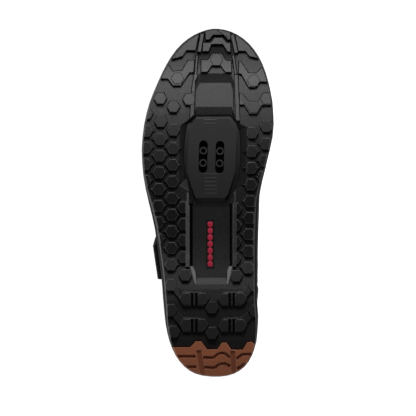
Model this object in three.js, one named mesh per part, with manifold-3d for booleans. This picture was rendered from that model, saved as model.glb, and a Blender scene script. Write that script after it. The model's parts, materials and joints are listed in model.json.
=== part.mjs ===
// Right cycling shoe for clipless pedals, in millimetres.
// It is worked out standing: +X to the toe, +Y to the inner side of the foot, +Z up, tread at zero.
// At the end the whole shoe is laid on its inner side, on the three points that carry it.
import * as THREE from 'three';
import { ConvexHull } from 'three/addons/math/ConvexHull.js';
import Module from 'manifold-3d';

const wasm = await Module();
wasm.setup();

// Driving dimensions of the last and the sole
const shoeLength = 295;
const ballWidth = 110;
const toeSpring = 24;
const archRise = 6;
const heelBevel = 7;
const lugHeight = 4;
const webThickness = 3;
const forefootThickness = 5.5;
const heelThickness = 19;
const sidewallFlare = 3;
const sidewallBelly = 0.35;
const sidewallShoulder = 0.7;
const shoulderInset = 0.4;
const bedInset = 1.4;
const rubberBevel = 0.8;
const seat = 0.3;

// Tread pattern
const lugWidth = 10.3;
const lugPitch = 14;
const lugDraft = 0.5;
const bridgeDrop = 0.6;
const ribWidth = 3.8;
const thinRibWidth = 2.6;
const pocketRibWidth = 4;
const channelRibWidth = 2.7;
const sipeWidth = 1.2;
const sipeDepth = 2.6;
const gumGrooveDepth = 1.6;
const gumGrooveWidth = 2.8;
const gumChannelDepth = 1.2;
const gumChannelWidth = 4.2;
const gumGap = 0.7;
const frontPocketDepth = 1.4;

// Cleat seat, its slots and the nut plate behind them
const cleatRecess = 5.6;
const cleatTilt = 2;
const cleatTurn = 1.6;
const cleatCentre = 185.6;
const cleatAcross = 1.25;
const slotSpacing = 14;
const slotLength = 27.6;
const slotWidth = 7.3;
const bossSpacing = 10.3;
const bossDiameter = 6.4;
const bossHole = 4.2;
const bossRecess = 0.5;
const nutLength = 22;
const nutWidth = 24;
const nutThickness = 2;
const nutSeatDepth = 5.2;
const nutTravel = 5;
const pocketClearance = 0.6;

// Upper, tongue, insole and straps
const upperWall = 1.8;
const featherInset = 2.6;
const insoleGap = 1.2;
const collarHeight = 96;
const insoleThickness = 3.5;
const tongueThickness = 3.2;
const tongueFlap = 24;
const flapLean = 0.45;
const overlayThickness = 1.2;
const strapThickness = 2.4;
const instepStrapWidth = 30;
const forefootStrapWidth = 18;

const stationCount = 40;
const up = new THREE.Vector3(0, 0, 1);

// Half of the outline each side of the centre line, as shares of length and ball width.
// The flare column says how far the rubber stays inside the sidewall.
const outlineRows = [
  { along: 0, lateral: 0.046, medial: 0.046, flare: 0 },
  { along: 0.007, lateral: -0.098, medial: 0.171, flare: 0 },
  { along: 0.03, lateral: -0.198, medial: 0.268, flare: 0 },
  { along: 0.0645, lateral: -0.27, medial: 0.328, flare: 0.1 },
  { along: 0.116, lateral: -0.322, medial: 0.362, flare: 0.4 },
  { along: 0.168, lateral: -0.347, medial: 0.369, flare: 0.8 },
  { along: 0.219, lateral: -0.358, medial: 0.36, flare: 1 },
  { along: 0.288, lateral: -0.375, medial: 0.36, flare: 1 },
  { along: 0.357, lateral: -0.4, medial: 0.36, flare: 1 },
  { along: 0.426, lateral: -0.425, medial: 0.362, flare: 0.9 },
  { along: 0.495, lateral: -0.4675, medial: 0.368, flare: 0.8 },
  { along: 0.546, lateral: -0.498, medial: 0.385, flare: 0.4 },
  { along: 0.598, lateral: -0.518, medial: 0.4245, flare: 0.2 },
  { along: 0.65, lateral: -0.5237, medial: 0.4606, flare: 0.1 },
  { along: 0.718, lateral: -0.5075, medial: 0.489, flare: 0.1 },
  { along: 0.77, lateral: -0.477, medial: 0.485, flare: 0.1 },
  { along: 0.839, lateral: -0.407, medial: 0.4537, flare: 0.1 },
  { along: 0.8905, lateral: -0.343, medial: 0.412, flare: 0.1 },
  { along: 0.942, lateral: -0.253, medial: 0.3345, flare: 0.25 },
  { along: 0.9765, lateral: -0.147, medial: 0.238, flare: 0.2 },
  { along: 0.9937, lateral: -0.05, medial: 0.1446, flare: 0.1 },
  { along: 1, lateral: 0.041, medial: 0.041, flare: 0 },
];

// Height of the tread plane, as shares of toe spring, arch rise and heel bevel,
// and the wedge of the midsole between forefoot and heel thickness.
const profileRows = [
  { along: 0, toe: 0, arch: 0, heel: 1, wedge: 1 },
  { along: 0.03, toe: 0, arch: 0, heel: 0.6, wedge: 1 },
  { along: 0.07, toe: 0, arch: 0, heel: 0.2, wedge: 1 },
  { along: 0.12, toe: 0, arch: 0, heel: 0, wedge: 1 },
  { along: 0.22, toe: 0, arch: 0, heel: 0, wedge: 1 },
  { along: 0.29, toe: 0, arch: 0.55, heel: 0, wedge: 0.9 },
  { along: 0.36, toe: 0, arch: 1, heel: 0, wedge: 0.7 },
  { along: 0.42, toe: 0, arch: 0.85, heel: 0, wedge: 0.52 },
  { along: 0.48, toe: 0, arch: 0.4, heel: 0, wedge: 0.36 },
  { along: 0.54, toe: 0, arch: 0.12, heel: 0, wedge: 0.22 },
  { along: 0.6, toe: 0, arch: 0, heel: 0, wedge: 0.1 },
  { along: 0.66, toe: 0.02, arch: 0, heel: 0, wedge: 0.02 },
  { along: 0.72, toe: 0.08, arch: 0, heel: 0, wedge: 0 },
  { along: 0.78, toe: 0.2, arch: 0, heel: 0, wedge: 0 },
  { along: 0.85, toe: 0.42, arch: 0, heel: 0, wedge: 0 },
  { along: 0.92, toe: 0.68, arch: 0, heel: 0, wedge: 0 },
  { along: 1, toe: 1, arch: 0, heel: 0, wedge: 0 },
];

// The topline of the upper from the back of the heel (round 0) to the front of the throat (round 1),
// and how the wall bends on its way up to it: bulge beyond the sole, rise, shoulder, drop,
// and how far the shoulder slides along the foot.
const lastRows = [
  { round: 0, along: 0.04, half: 0, height: 0.97, bulge: 3.4, rise: 0.42, shoulder: 0.5, drop: 0.36, slide: 1 },
  { round: 0.1, along: 0.05, half: 0.13, height: 0.965, bulge: 3.2, rise: 0.42, shoulder: 0.5, drop: 0.36, slide: 1 },
  { round: 0.2, along: 0.095, half: 0.235, height: 0.93, bulge: 3, rise: 0.42, shoulder: 0.5, drop: 0.34, slide: 1 },
  { round: 0.3, along: 0.165, half: 0.275, height: 0.85, bulge: 3.4, rise: 0.42, shoulder: 0.5, drop: 0.3, slide: 0.7 },
  { round: 0.4, along: 0.245, half: 0.265, height: 0.815, bulge: 4.4, rise: 0.44, shoulder: 0.5, drop: 0.28, slide: 0.4 },
  { round: 0.5, along: 0.325, half: 0.225, height: 0.88, bulge: 6, rise: 0.46, shoulder: 0.58, drop: 0.24, slide: 0.3 },
  { round: 0.58, along: 0.39, half: 0.17, height: 1, bulge: 6, rise: 0.47, shoulder: 0.64, drop: 0.24, slide: 0.3 },
  { round: 0.66, along: 0.45, half: 0.145, height: 0.945, bulge: 6, rise: 0.48, shoulder: 0.68, drop: 0.28, slide: 0.4 },
  { round: 0.76, along: 0.53, half: 0.13, height: 0.845, bulge: 5, rise: 0.5, shoulder: 0.68, drop: 0.33, slide: 0.55 },
  { round: 0.86, along: 0.61, half: 0.11, height: 0.745, bulge: 3.5, rise: 0.58, shoulder: 0.66, drop: 0.3, slide: 0.8 },
  { round: 0.94, along: 0.665, half: 0.07, height: 0.685, bulge: 1.6, rise: 0.66, shoulder: 0.62, drop: 0.18, slide: 0.95 },
  { round: 1, along: 0.685, half: 0, height: 0.665, bulge: 0.4, rise: 0.7, shoulder: 0.6, drop: 0.05, slide: 1 },
];

// Smooth curve through one column of a table, without overshoot between rows
function column(rows, name, key, turn = (value) => value) {
  const places = rows.map((row) => turn(row[key]));
  const values = rows.map((row) => row[name]);
  const finish = rows.length - 1;
  const steps = places.slice(1).map((place, i) => (values[i + 1] - values[i]) / (place - places[i]));
  const slopes = values.map((value, i) => {
    if (i === 0 || i === finish) {
      return steps[i === 0 ? 0 : finish - 1];
    }
    const product = steps[i - 1] * steps[i];
    return product <= 0 ? 0 : (2 * product) / (steps[i - 1] + steps[i]);
  });
  return (share) => {
    const place = THREE.MathUtils.clamp(turn(share), places[0], places[finish]);
    let i = 0;
    while (i < finish - 1 && place > places[i + 1]) {
      i += 1;
    }
    const width = places[i + 1] - places[i];
    const s = (place - places[i]) / width;
    const start = (1 + 2 * s) * (1 - s) ** 2 * values[i] + s * (1 - s) ** 2 * width * slopes[i];
    const end = s * s * (3 - 2 * s) * values[i + 1] + s * s * (s - 1) * width * slopes[i + 1];
    return start + end;
  };
}

const roundEnd = (share) => Math.acos(1 - 2 * THREE.MathUtils.clamp(share, 0, 1));
const outline = {
  lateral: column(outlineRows, 'lateral', 'along', roundEnd),
  medial: column(outlineRows, 'medial', 'along', roundEnd),
  flare: column(outlineRows, 'flare', 'along', roundEnd),
};
const profile = {
  toe: column(profileRows, 'toe', 'along'),
  arch: column(profileRows, 'arch', 'along'),
  heel: column(profileRows, 'heel', 'along'),
  wedge: column(profileRows, 'wedge', 'along'),
};
const last = {};
for (const name of ['along', 'half', 'height', 'bulge', 'rise', 'shoulder', 'drop', 'slide']) {
  last[name] = column(lastRows, name, 'round');
}

// Heights of the layers of the sole at a distance x from the heel
function treadHeight(x) {
  const share = x / shoeLength;
  return toeSpring * profile.toe(share) + archRise * profile.arch(share) + heelBevel * profile.heel(share);
}
const baseHeight = (x) => treadHeight(x) + lugHeight;
const rubberTop = (x) => baseHeight(x) + webThickness;
const midsoleBottom = (x) => rubberTop(x) + seat;
function bedHeight(x) {
  const wedge = profile.wedge(x / shoeLength);
  return midsoleBottom(x) + THREE.MathUtils.lerp(forefootThickness, heelThickness, wedge);
}

// A point in plan from shares of length and ball width
const place = ([along, across]) => new THREE.Vector2(along * shoeLength, across * ballWidth);
const places = (corners) => corners.map(place);

// Edges of the outline at a share of the length, drawn in by an inset
function edges(share, inset) {
  const x = inset + share * (shoeLength - 2 * inset);
  const middle = (outline.lateral(share) + outline.medial(share)) / 2;
  const narrow = 1 - (2 * inset) / ballWidth;
  const lateral = ballWidth * (middle + (outline.lateral(share) - middle) * narrow);
  const medial = ballWidth * (middle + (outline.medial(share) - middle) * narrow);
  return { x, lateral, medial };
}

// A closed body from points and triangles, turned the right way out
function solid(points, triangles) {
  let volume = 0;
  for (const [a, b, c] of triangles) {
    volume += points[a].dot(new THREE.Vector3().crossVectors(points[b], points[c]));
  }
  const faces = volume < 0 ? triangles.map(([a, b, c]) => [a, c, b]) : triangles;
  const mesh = new wasm.Mesh({
    numProp: 3,
    vertProperties: new Float32Array(points.flatMap((point) => point.toArray())),
    triVerts: new Uint32Array(faces.flat()),
  });
  return new wasm.Manifold(mesh);
}

const join = (bodies) => bodies.reduce((sum, body) => sum.add(body));

// What is left in one piece after a cut, without loose slivers
function largest(body) {
  const bodies = body.decompose();
  return bodies.reduce((most, each) => (each.volume() > most.volume() ? each : most));
}

// A body between two outlines in plan, each at its own height function
function prism(lowerOutline, lowerHeight, upperOutline, upperHeight) {
  const count = lowerOutline.length;
  const lower = lowerOutline.map((point) => new THREE.Vector3(point.x, point.y, lowerHeight(point.x)));
  const upper = upperOutline.map((point) => new THREE.Vector3(point.x, point.y, upperHeight(point.x)));
  const triangles = [];
  for (const [a, b, c] of THREE.ShapeUtils.triangulateShape(lowerOutline, [])) {
    triangles.push([c, b, a]);
  }
  for (const [a, b, c] of THREE.ShapeUtils.triangulateShape(upperOutline, [])) {
    triangles.push([count + a, count + b, count + c]);
  }
  const turning = THREE.ShapeUtils.area(lowerOutline) > 0;
  for (let i = 0; i < count; i += 1) {
    const j = (i + 1) % count;
    const side = [[i, j, count + j], [i, count + j, count + i]];
    triangles.push(...(turning ? side : side.map(([a, b, c]) => [a, c, b])));
  }
  return solid([...lower, ...upper], triangles);
}

// An outline in plan moved outwards by a distance, or inwards where it is negative
function offsetOutline(corners, distance) {
  const sign = THREE.ShapeUtils.area(corners) > 0 ? 1 : -1;
  return corners.map((corner, i) => {
    const before = corners[(i + corners.length - 1) % corners.length];
    const after = corners[(i + 1) % corners.length];
    const first = new THREE.Vector2(corner.y - before.y, before.x - corner.x).normalize();
    const second = new THREE.Vector2(after.y - corner.y, corner.x - after.x).normalize();
    const middle = first.clone().add(second).normalize();
    const stretch = Math.max(0.5, middle.dot(first));
    return corner.clone().addScaledVector(middle, (sign * distance) / stretch);
  });
}

// A lug stands on the web and narrows towards the ground
function lug(corners, drop = 0) {
  const face = offsetOutline(corners, -lugDraft);
  const root = offsetOutline(corners, lugDraft / 2);
  return prism(face, (x) => treadHeight(x) + drop, root, (x) => baseHeight(x) + webThickness / 2);
}

function hexagon(centre) {
  const radius = lugWidth / Math.sqrt(3);
  return Array.from({ length: 6 }, (_, i) => {
    const angle = THREE.MathUtils.degToRad(30 + 60 * i);
    return new THREE.Vector2(centre.x + radius * Math.cos(angle), centre.y + radius * Math.sin(angle));
  });
}

// A straight rib of a given width between two points in plan
function strip(from, to, width) {
  const along = to.clone().sub(from).normalize().multiplyScalar(width / 2);
  const side = new THREE.Vector2(-along.y, along.x);
  return [
    from.clone().add(side),
    from.clone().sub(side),
    to.clone().sub(side),
    to.clone().add(side),
  ];
}

// A slab that follows the outline between two heights, with its own inset at each level
function slab(levels) {
  const points = [];
  const triangles = [];
  const ring = 2 * levels.length;
  for (let i = 0; i <= stationCount; i += 1) {
    const share = (1 - Math.cos((Math.PI * (i + 0.5)) / (stationCount + 1))) / 2;
    const sides = levels.map((level) => {
      const edge = edges(share, level.inset(share));
      return { ...edge, z: level.height(edge.x) };
    });
    for (const side of sides) {
      points.push(new THREE.Vector3(side.x, side.medial, side.z));
    }
    for (const side of [...sides].reverse()) {
      points.push(new THREE.Vector3(side.x, side.lateral, side.z));
    }
  }
  for (let i = 0; i < stationCount; i += 1) {
    for (let j = 0; j < ring; j += 1) {
      const a = i * ring + j;
      const b = i * ring + ((j + 1) % ring);
      triangles.push([a, b, b + ring], [a, b + ring, a + ring]);
    }
  }
  const end = stationCount * ring;
  for (let j = 1; j < ring - 1; j += 1) {
    triangles.push([0, j + 1, j], [end, end + j, end + j + 1]);
  }
  return solid(points, triangles);
}

// Tread of the forefoot and waist: columns of hexagonal lugs, set back half a pitch from each other
const lugColumns = [
  { across: -0.488, along: 0.7032, drift: -0.004, count: 5 },
  { across: -0.3822, along: 0.6797, drift: -0.0037, count: 7 },
  { across: -0.2845, along: 0.6541, drift: -0.0019, count: 8 },
  { across: -0.2, along: 0.4855, drift: 0, count: 4 },
  { across: 0.3191, along: 0.6453, drift: -0.0042, count: 8 },
  { across: 0.4268, along: 0.6668, drift: -0.009, count: 3 },
  { across: 0.1923, along: 0.482, drift: -0.001, count: 4 },
];

// Single hexagons in front of and behind the columns, and on the heel
const singleLugs = [
  [0.797, -0.381], [0.773, -0.28], [0.794, -0.16],
  [0.7534, -0.486], [0.7313, -0.377], [0.7061, -0.2807], [0.6983, 0.3207], [0.717, 0.4306],
  [0.2925, -0.1884], [0.2902, 0.2],
  [0.264, -0.298], [0.192, -0.298], [0.131, -0.279],
  [0.2624, 0.342], [0.1905, 0.343], [0.2, 0.015], [0.127, 0.015],
];

// Hexagons that stand proud of the lower bridges between them
const bridgedHexagons = [
  [0.9077, 0.05], [0.8546, -0.25], [0.8474, 0.3345], [0.7714, 0.3345], [0.7958, 0.4345],
  [0.2251, -0.1846], [0.2251, -0.0577], [0.2237, 0.1153], [0.2251, 0.2307],
  [0.1506, -0.1769], [0.1506, -0.0615], [0.1491, 0.1153], [0.1491, 0.2307],
];

// Lugs with an outline of their own, as shares of length and ball width
const toeLugs = {
  toeCrescent: [
    [0.965, -0.038], [0.965, -0.008], [0.979, 0.027], [0.979, 0.1],
    [0.965, 0.138], [0.965, 0.161], [1.02, 0.161], [1.02, -0.038],
  ],
  toeBar: [
    [0.959, -0.058], [0.959, 0], [0.974, 0.035], [0.974, 0.096], [0.959, 0.131], [0.959, 0.161],
    [0.928, 0.161], [0.931, 0.131], [0.952, 0.096], [0.952, 0.015], [0.931, -0.008], [0.931, -0.062],
  ],
  lateralToe: [
    [0.934, -0.108], [0.934, -0.179], [0.917, -0.208], [0.91, -0.279],
    [0.905, -0.38], [1, -0.38], [0.995, -0.075],
  ],
  medialToe: [
    [0.932, 0.215], [0.932, 0.271], [0.917, 0.3], [0.91, 0.378],
    [0.905, 0.48], [1, 0.48], [0.99, 0.185],
  ],
};
const bridgedLugs = {
  centreCluster: [
    [0.909, -0.072], [0.909, -0.019], [0.928, 0.015], [0.928, 0.088], [0.908, 0.123], [0.906, 0.169],
    [0.87, 0.169], [0.871, 0.115], [0.89, 0.081], [0.89, 0.015], [0.871, -0.019], [0.871, -0.072],
  ],
  lateralSecond: [
    [0.908, -0.115], [0.908, -0.169], [0.878, -0.219], [0.876, -0.285], [0.895, -0.32],
    [0.895, -0.42], [0.852, -0.42], [0.852, -0.327], [0.832, -0.285], [0.832, -0.223],
    [0.87, -0.154], [0.87, -0.123],
  ],
  medialSecond: [
    [0.905, 0.219], [0.905, 0.238], [0.872, 0.296], [0.87, 0.354], [0.886, 0.392], [0.888, 0.5],
    [0.842, 0.5], [0.843, 0.388], [0.827, 0.35], [0.827, 0.296], [0.865, 0.238], [0.868, 0.215],
  ],
  medialThird: [
    [0.813, 0.223], [0.813, 0.246], [0.79, 0.296], [0.787, 0.361], [0.806, 0.4], [0.809, 0.53],
    [0.776, 0.53], [0.776, 0.4], [0.751, 0.361], [0.751, 0.3], [0.777, 0.261], [0.777, 0.223],
  ],
};

// One lug of the heel rows, on the lateral side; the medial one mirrors it about the heel's centre
const heelLug = [
  [0.265, -0.246], [0.2466, -0.2], [0.2438, -0.065], [0.2208, -0.023],
  [0.2036, -0.05], [0.2036, -0.2076], [0.2237, -0.236], [0.2452, -0.281],
];
const heelCentre = 0.0185;
const heelRowStep = 0.0745;
const sipePlaces = [-0.143, -0.107];
const sipeEnds = [0.2415, 0.2045];

// Ribs that run back from the toe
const pocketRibs = [
  { from: [0.866, -0.108], to: [0.815, -0.129], width: pocketRibWidth },
  { from: [0.818, -0.128], to: [0.738, -0.139], width: pocketRibWidth },
  { from: [0.866, 0.2], to: [0.731, 0.213], width: pocketRibWidth },
];
const channelRibs = [
  { from: [0.527, -0.171], to: [0.318, -0.171], width: channelRibWidth },
  { from: [0.527, 0.191], to: [0.318, 0.191], width: channelRibWidth },
];
const toeRibs = [
  { from: [0.985, -0.058], to: [0.929, -0.085], width: ribWidth },
  { from: [0.922, -0.1], to: [0.856, -0.112], width: thinRibWidth },
  { from: [0.982, 0.17], to: [0.927, 0.204], width: ribWidth },
  { from: [0.922, 0.177], to: [0.865, 0.2], width: thinRibWidth },
];

// The window that lets the cleat plate show, at the web and at the midsole
const windowAtWeb = [
  [0.793, -0.105], [0.793, 0.165], [0.748, 0.186], [0.728, 0.211], [0.713, 0.285], [0.55, 0.278],
  [0.529, 0.179], [0.32, 0.179], [0.266, 0.142], [0.266, -0.118], [0.32, -0.159], [0.529, -0.159],
  [0.55, -0.242], [0.718, -0.228], [0.736, -0.161], [0.75, -0.122],
];
const windowAtMidsole = [
  [0.741, -0.108], [0.741, 0.154], [0.734, 0.175], [0.724, 0.204], [0.707, 0.215], [0.569, 0.208],
  [0.518, 0.151], [0.328, 0.151], [0.288, 0.115], [0.288, -0.096], [0.328, -0.138], [0.518, -0.138],
  [0.569, -0.177], [0.707, -0.177], [0.727, -0.161], [0.735, -0.13],
];
const frontPocketRim = [
  [0.869, -0.081], [0.869, 0.161], [0.846, 0.181], [0.745, 0.184], [0.745, -0.119], [0.846, -0.116],
];
const frontPocketFloor = [
  [0.841, -0.079], [0.841, 0.158], [0.818, 0.177], [0.771, 0.178], [0.771, -0.113], [0.818, -0.112],
];
const platesEdge = [
  [0.74, -0.104], [0.74, 0.146], [0.704, 0.208], [0.585, 0.192], [0.523, 0.138],
  [0.512, 0.115], [0.512, -0.108], [0.523, -0.123], [0.585, -0.177], [0.704, -0.161],
];
const plateRunOut = 0.022;

// Front edge of the heel insert, from the lateral to the medial side
const gumEdge = [
  [0.086, -0.45], [0.086, -0.15], [0.103, -0.112], [0.103, -0.065], [0.08, -0.023], [0.08, 0.058],
  [0.099, 0.088], [0.099, 0.127], [0.079, 0.165], [0.079, 0.25], [0.1, 0.285], [0.102, 0.319],
  [0.09, 0.36], [0.09, 0.45],
];
const gumGrooves = [
  { from: [0.06, -0.4], to: [0.06, -0.111] },
  { from: [0.057, -0.054], to: [0.056, 0.027] },
  { from: [0.056, 0.027], to: [0.069, 0.069] },
  { from: [0.069, 0.069], to: [0.069, 0.115] },
  { from: [0.069, 0.115], to: [0.056, 0.154] },
  { from: [0.053, 0.204], to: [0.066, 0.246] },
  { from: [0.066, 0.246], to: [0.066, 0.4] },
  { from: [0.03, -0.4], to: [0.03, -0.104] },
  { from: [0.029, -0.046], to: [0.027, 0.035] },
  { from: [0.027, 0.035], to: [0.039, 0.077] },
  { from: [0.039, 0.077], to: [0.039, 0.127] },
  { from: [0.039, 0.127], to: [0.03, 0.154] },
  { from: [0.024, 0.208], to: [0.04, 0.27] },
];
const gumChannels = [
  { from: [0.078, -0.088], to: [0, -0.054] },
  { from: [0.076, 0.173], to: [0, 0.185] },
];

const rubberInset = (share) => rubberBevel + sidewallFlare * outline.flare(share);
const flat = (height) => () => height;
const below = -20;
const above = 80;

function treadLugs() {
  const bodies = [];
  for (const row of lugColumns) {
    for (let i = 0; i < row.count; i += 1) {
      const centre = place([row.along, row.across + row.drift * i]);
      centre.x -= lugPitch * i;
      bodies.push(lug(hexagon(centre)));
    }
  }
  for (const centre of [...singleLugs, ...bridgedHexagons]) {
    bodies.push(lug(hexagon(place(centre))));
  }
  for (const corners of Object.values(toeLugs)) {
    bodies.push(lug(places(corners)));
  }
  for (const corners of Object.values(bridgedLugs)) {
    bodies.push(lug(places(corners), bridgeDrop));
  }
  for (const rib of [...toeRibs, ...pocketRibs, ...channelRibs]) {
    bodies.push(lug(strip(place(rib.from), place(rib.to), rib.width)));
  }
  for (const row of [0, 1]) {
    const lateral = heelLug.map(([along, across]) => [along - row * heelRowStep, across]);
    const medial = lateral.map(([along, across]) => [along, 2 * heelCentre - across]);
    bodies.push(lug(places(lateral), bridgeDrop), lug(places(medial.reverse()), bridgeDrop));
  }
  return join(bodies);
}

// Narrow cuts across the heel lugs
function heelSipes() {
  const bodies = [];
  for (const row of [0, 1]) {
    for (const across of [...sipePlaces, ...sipePlaces.map((lateral) => 2 * heelCentre - lateral)]) {
      const [front, back] = sipeEnds.map((along) => place([along - row * heelRowStep, across]));
      const cut = strip(front, back, sipeWidth);
      bodies.push(prism(cut, flat(below), cut, (x) => treadHeight(x) + sipeDepth));
    }
  }
  return join(bodies);
}

// Everything behind the front edge of the heel insert, moved forwards by a clearance
function behindGumEdge(clearance) {
  const corners = places([...gumEdge, [-0.2, 0.45], [-0.2, -0.45]]);
  for (const corner of corners) {
    corner.x += clearance;
  }
  return prism(corners, flat(below), corners, flat(above));
}

function windowCut() {
  const throughWeb = prism(places(windowAtWeb), baseHeight, places(windowAtMidsole), (x) => rubberTop(x) + seat);
  const throughLugs = prism(places(windowAtWeb), flat(below), places(windowAtWeb), baseHeight);
  const clearFloor = prism(places(windowAtMidsole), flat(below), places(windowAtMidsole), flat(above));
  return throughWeb.add(throughLugs).add(clearFloor);
}

function frontPocketCut() {
  const floor = (x) => baseHeight(x) + frontPocketDepth;
  const throughWeb = prism(places(frontPocketRim), baseHeight, places(frontPocketFloor), floor);
  const throughLugs = prism(places(frontPocketRim), flat(below), places(frontPocketRim), baseHeight);
  return throughWeb.add(throughLugs);
}

function outsole() {
  const web = slab([
    { height: baseHeight, inset: rubberInset },
    { height: rubberTop, inset: (share) => sidewallFlare * outline.flare(share) },
  ]);
  const treadRoom = slab([
    { height: (x) => treadHeight(x) - 1, inset: (share) => rubberInset(share) + lugDraft },
    { height: (x) => rubberTop(x) - webThickness / 3, inset: rubberInset },
  ]);
  const lugs = treadLugs().intersect(treadRoom).subtract(heelSipes());
  return web
    .add(lugs)
    .subtract(windowCut())
    .subtract(frontPocketCut())
    .subtract(behindGumEdge(gumGap));
}

function heelInsert() {
  const body = slab([
    { height: treadHeight, inset: (share) => rubberInset(share) + lugDraft },
    { height: baseHeight, inset: rubberInset },
    { height: rubberTop, inset: (share) => sidewallFlare * outline.flare(share) },
  ]);
  const cuts = gumGrooves.map(({ from, to }) => {
    const cut = strip(place(from), place(to), gumGrooveWidth);
    return prism(cut, flat(below), cut, (x) => treadHeight(x) + gumGrooveDepth);
  });
  for (const { from, to } of gumChannels) {
    const cut = strip(place(from), place(to), gumChannelWidth);
    cuts.push(prism(cut, flat(below), cut, (x) => treadHeight(x) + gumChannelDepth));
  }
  return body.intersect(behindGumEdge(0)).subtract(join(cuts));
}

// The cleat seat is a flat face, tilted up a little towards the toe
const tiltSlope = Math.tan(THREE.MathUtils.degToRad(cleatTilt));
const cleatFace = (x) => cleatRecess + (x - cleatCentre) * tiltSlope;

// A point in plan from its place on the cleat seat, along and across the slots
function onSeat(along, across) {
  const turned = new THREE.Vector2(along, across).rotateAround(new THREE.Vector2(), THREE.MathUtils.degToRad(cleatTurn));
  return turned.add(new THREE.Vector2(cleatCentre, cleatAcross));
}

function roundedSlot(across, length, width) {
  const corners = [];
  const straight = (length - width) / 2;
  for (const end of [1, -1]) {
    for (let i = 0; i <= 6; i += 1) {
      const angle = end * (Math.PI / 2) - (Math.PI * i) / 6;
      const x = Math.cos(angle) * (width / 2);
      corners.push(onSeat(end * straight + x, across + Math.sin(angle) * (width / 2)));
    }
  }
  return corners;
}

function rectangleOnSeat(length, width) {
  const signs = [[1, 1], [1, -1], [-1, -1], [-1, 1]];
  return signs.map(([a, b]) => onSeat((a * length) / 2, (b * width) / 2));
}

function midsole() {
  const body = slab([
    { height: midsoleBottom, inset: (share) => sidewallFlare * outline.flare(share) + seat },
    { height: (x) => THREE.MathUtils.lerp(midsoleBottom(x), bedHeight(x), sidewallBelly), inset: () => 0 },
    { height: (x) => THREE.MathUtils.lerp(midsoleBottom(x), bedHeight(x), sidewallShoulder), inset: () => shoulderInset },
    { height: bedHeight, inset: () => bedInset },
  ]);
  const face = places(platesEdge);
  const root = platesEdge.map(([along, across], i) => {
    const back = i >= 4 && i <= 7;
    return place([along - (back ? plateRunOut : 0), across]);
  });
  const plate = prism(face, cleatFace, root, (x) => midsoleBottom(x) + forefootThickness / 2);
  const slots = [-1, 1].map((side) => {
    const corners = roundedSlot((side * slotSpacing) / 2, slotLength, slotWidth);
    return prism(corners, flat(below), corners, flat(above));
  });
  const pocket = rectangleOnSeat(nutLength + 2 * (nutTravel + pocketClearance), nutWidth + 2 * pocketClearance);
  const pocketCut = prism(pocket, (x) => cleatFace(x) + nutSeatDepth, pocket, flat(above));
  return body.add(plate).subtract(join([...slots, pocketCut]));
}

function disc(along, across, diameter, sides) {
  return Array.from({ length: sides }, (_, i) => {
    const angle = (2 * Math.PI * i) / sides;
    return onSeat(along + (diameter / 2) * Math.cos(angle), across + (diameter / 2) * Math.sin(angle));
  });
}

// The steel nut plate slides in the sole, its four threaded bosses in the slots
function cleatNut() {
  const plate = rectangleOnSeat(nutLength, nutWidth);
  const under = (x) => cleatFace(x) + nutSeatDepth + seat;
  const bodies = [prism(plate, under, plate, (x) => under(x) + nutThickness)];
  const holes = [];
  for (const along of [-bossSpacing / 2, bossSpacing / 2]) {
    for (const across of [-slotSpacing / 2, slotSpacing / 2]) {
      const outer = disc(along, across, bossDiameter, 12);
      const inner = disc(along, across, bossHole, 8);
      bodies.push(prism(outer, (x) => cleatFace(x) + bossRecess, outer, (x) => under(x) + nutThickness / 2));
      holes.push(prism(inner, flat(below), inner, flat(above)));
    }
  }
  return join(bodies).subtract(join(holes));
}

function insole() {
  const inset = () => featherInset + upperWall + insoleGap;
  const lower = (x) => bedHeight(x) + seat;
  return slab([
    { height: lower, inset },
    { height: (x) => lower(x) + insoleThickness, inset },
  ]);
}

// The outer face of the upper: round goes from the heel (0) to the toe (1), rise from sole (0) to topline (1)
function upperPoint(round, side, rise) {
  const share = (1 - Math.cos(Math.PI * round)) / 2;
  const edge = edges(share, featherInset);
  const foot = new THREE.Vector3(edge.x, side > 0 ? edge.medial : edge.lateral, bedHeight(edge.x) + seat);
  const topX = last.along(round) * shoeLength;
  const middle = (ballWidth * (outline.lateral(topX / shoeLength) + outline.medial(topX / shoeLength))) / 2;
  const top = new THREE.Vector3(topX, middle + side * last.half(round) * ballWidth, last.height(round) * collarHeight);
  const step = 0.01;
  const near = edges((1 - Math.cos(Math.PI * Math.max(0, round - step))) / 2, featherInset);
  const far = edges((1 - Math.cos(Math.PI * Math.min(1, round + step))) / 2, featherInset);
  const name = side > 0 ? 'medial' : 'lateral';
  const tangent = new THREE.Vector3(far.x - near.x, far[name] - near[name], 0);
  const outward = new THREE.Vector3(-tangent.y, tangent.x, 0).multiplyScalar(side).normalize();
  const height = top.z - foot.z;
  const lower = foot.clone().addScaledVector(outward, last.bulge(round));
  lower.z += height * last.rise(round);
  const upper = top.clone().lerp(foot, last.shoulder(round));
  upper.x = THREE.MathUtils.lerp(top.x, foot.x, last.shoulder(round) * last.slide(round));
  upper.z = top.z - height * last.drop(round);
  return new THREE.CubicBezierCurve3(foot, lower, upper, top).getPoint(rise);
}

// The same face by an angle round the shoe, 0 at the heel, a half turn at the toe, and back on the lateral side
function aroundPoint(turn, rise) {
  const whole = ((turn % 2) + 2) % 2;
  return whole <= 1 ? upperPoint(whole, 1, rise) : upperPoint(2 - whole, -1, rise);
}

// A point moved square to the upper's face, outwards where the distance is positive
function offsetPoint(turn, rise, distance) {
  const step = 0.004;
  const point = aroundPoint(turn, rise);
  const along = aroundPoint(turn + step, rise).sub(aroundPoint(turn - step, rise));
  const climb = aroundPoint(turn, rise + step).sub(aroundPoint(turn, rise - step));
  const normal = climb.cross(along);
  if (rise <= 0) {
    normal.z = 0;
  }
  return point.addScaledVector(normal.normalize(), distance);
}

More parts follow.
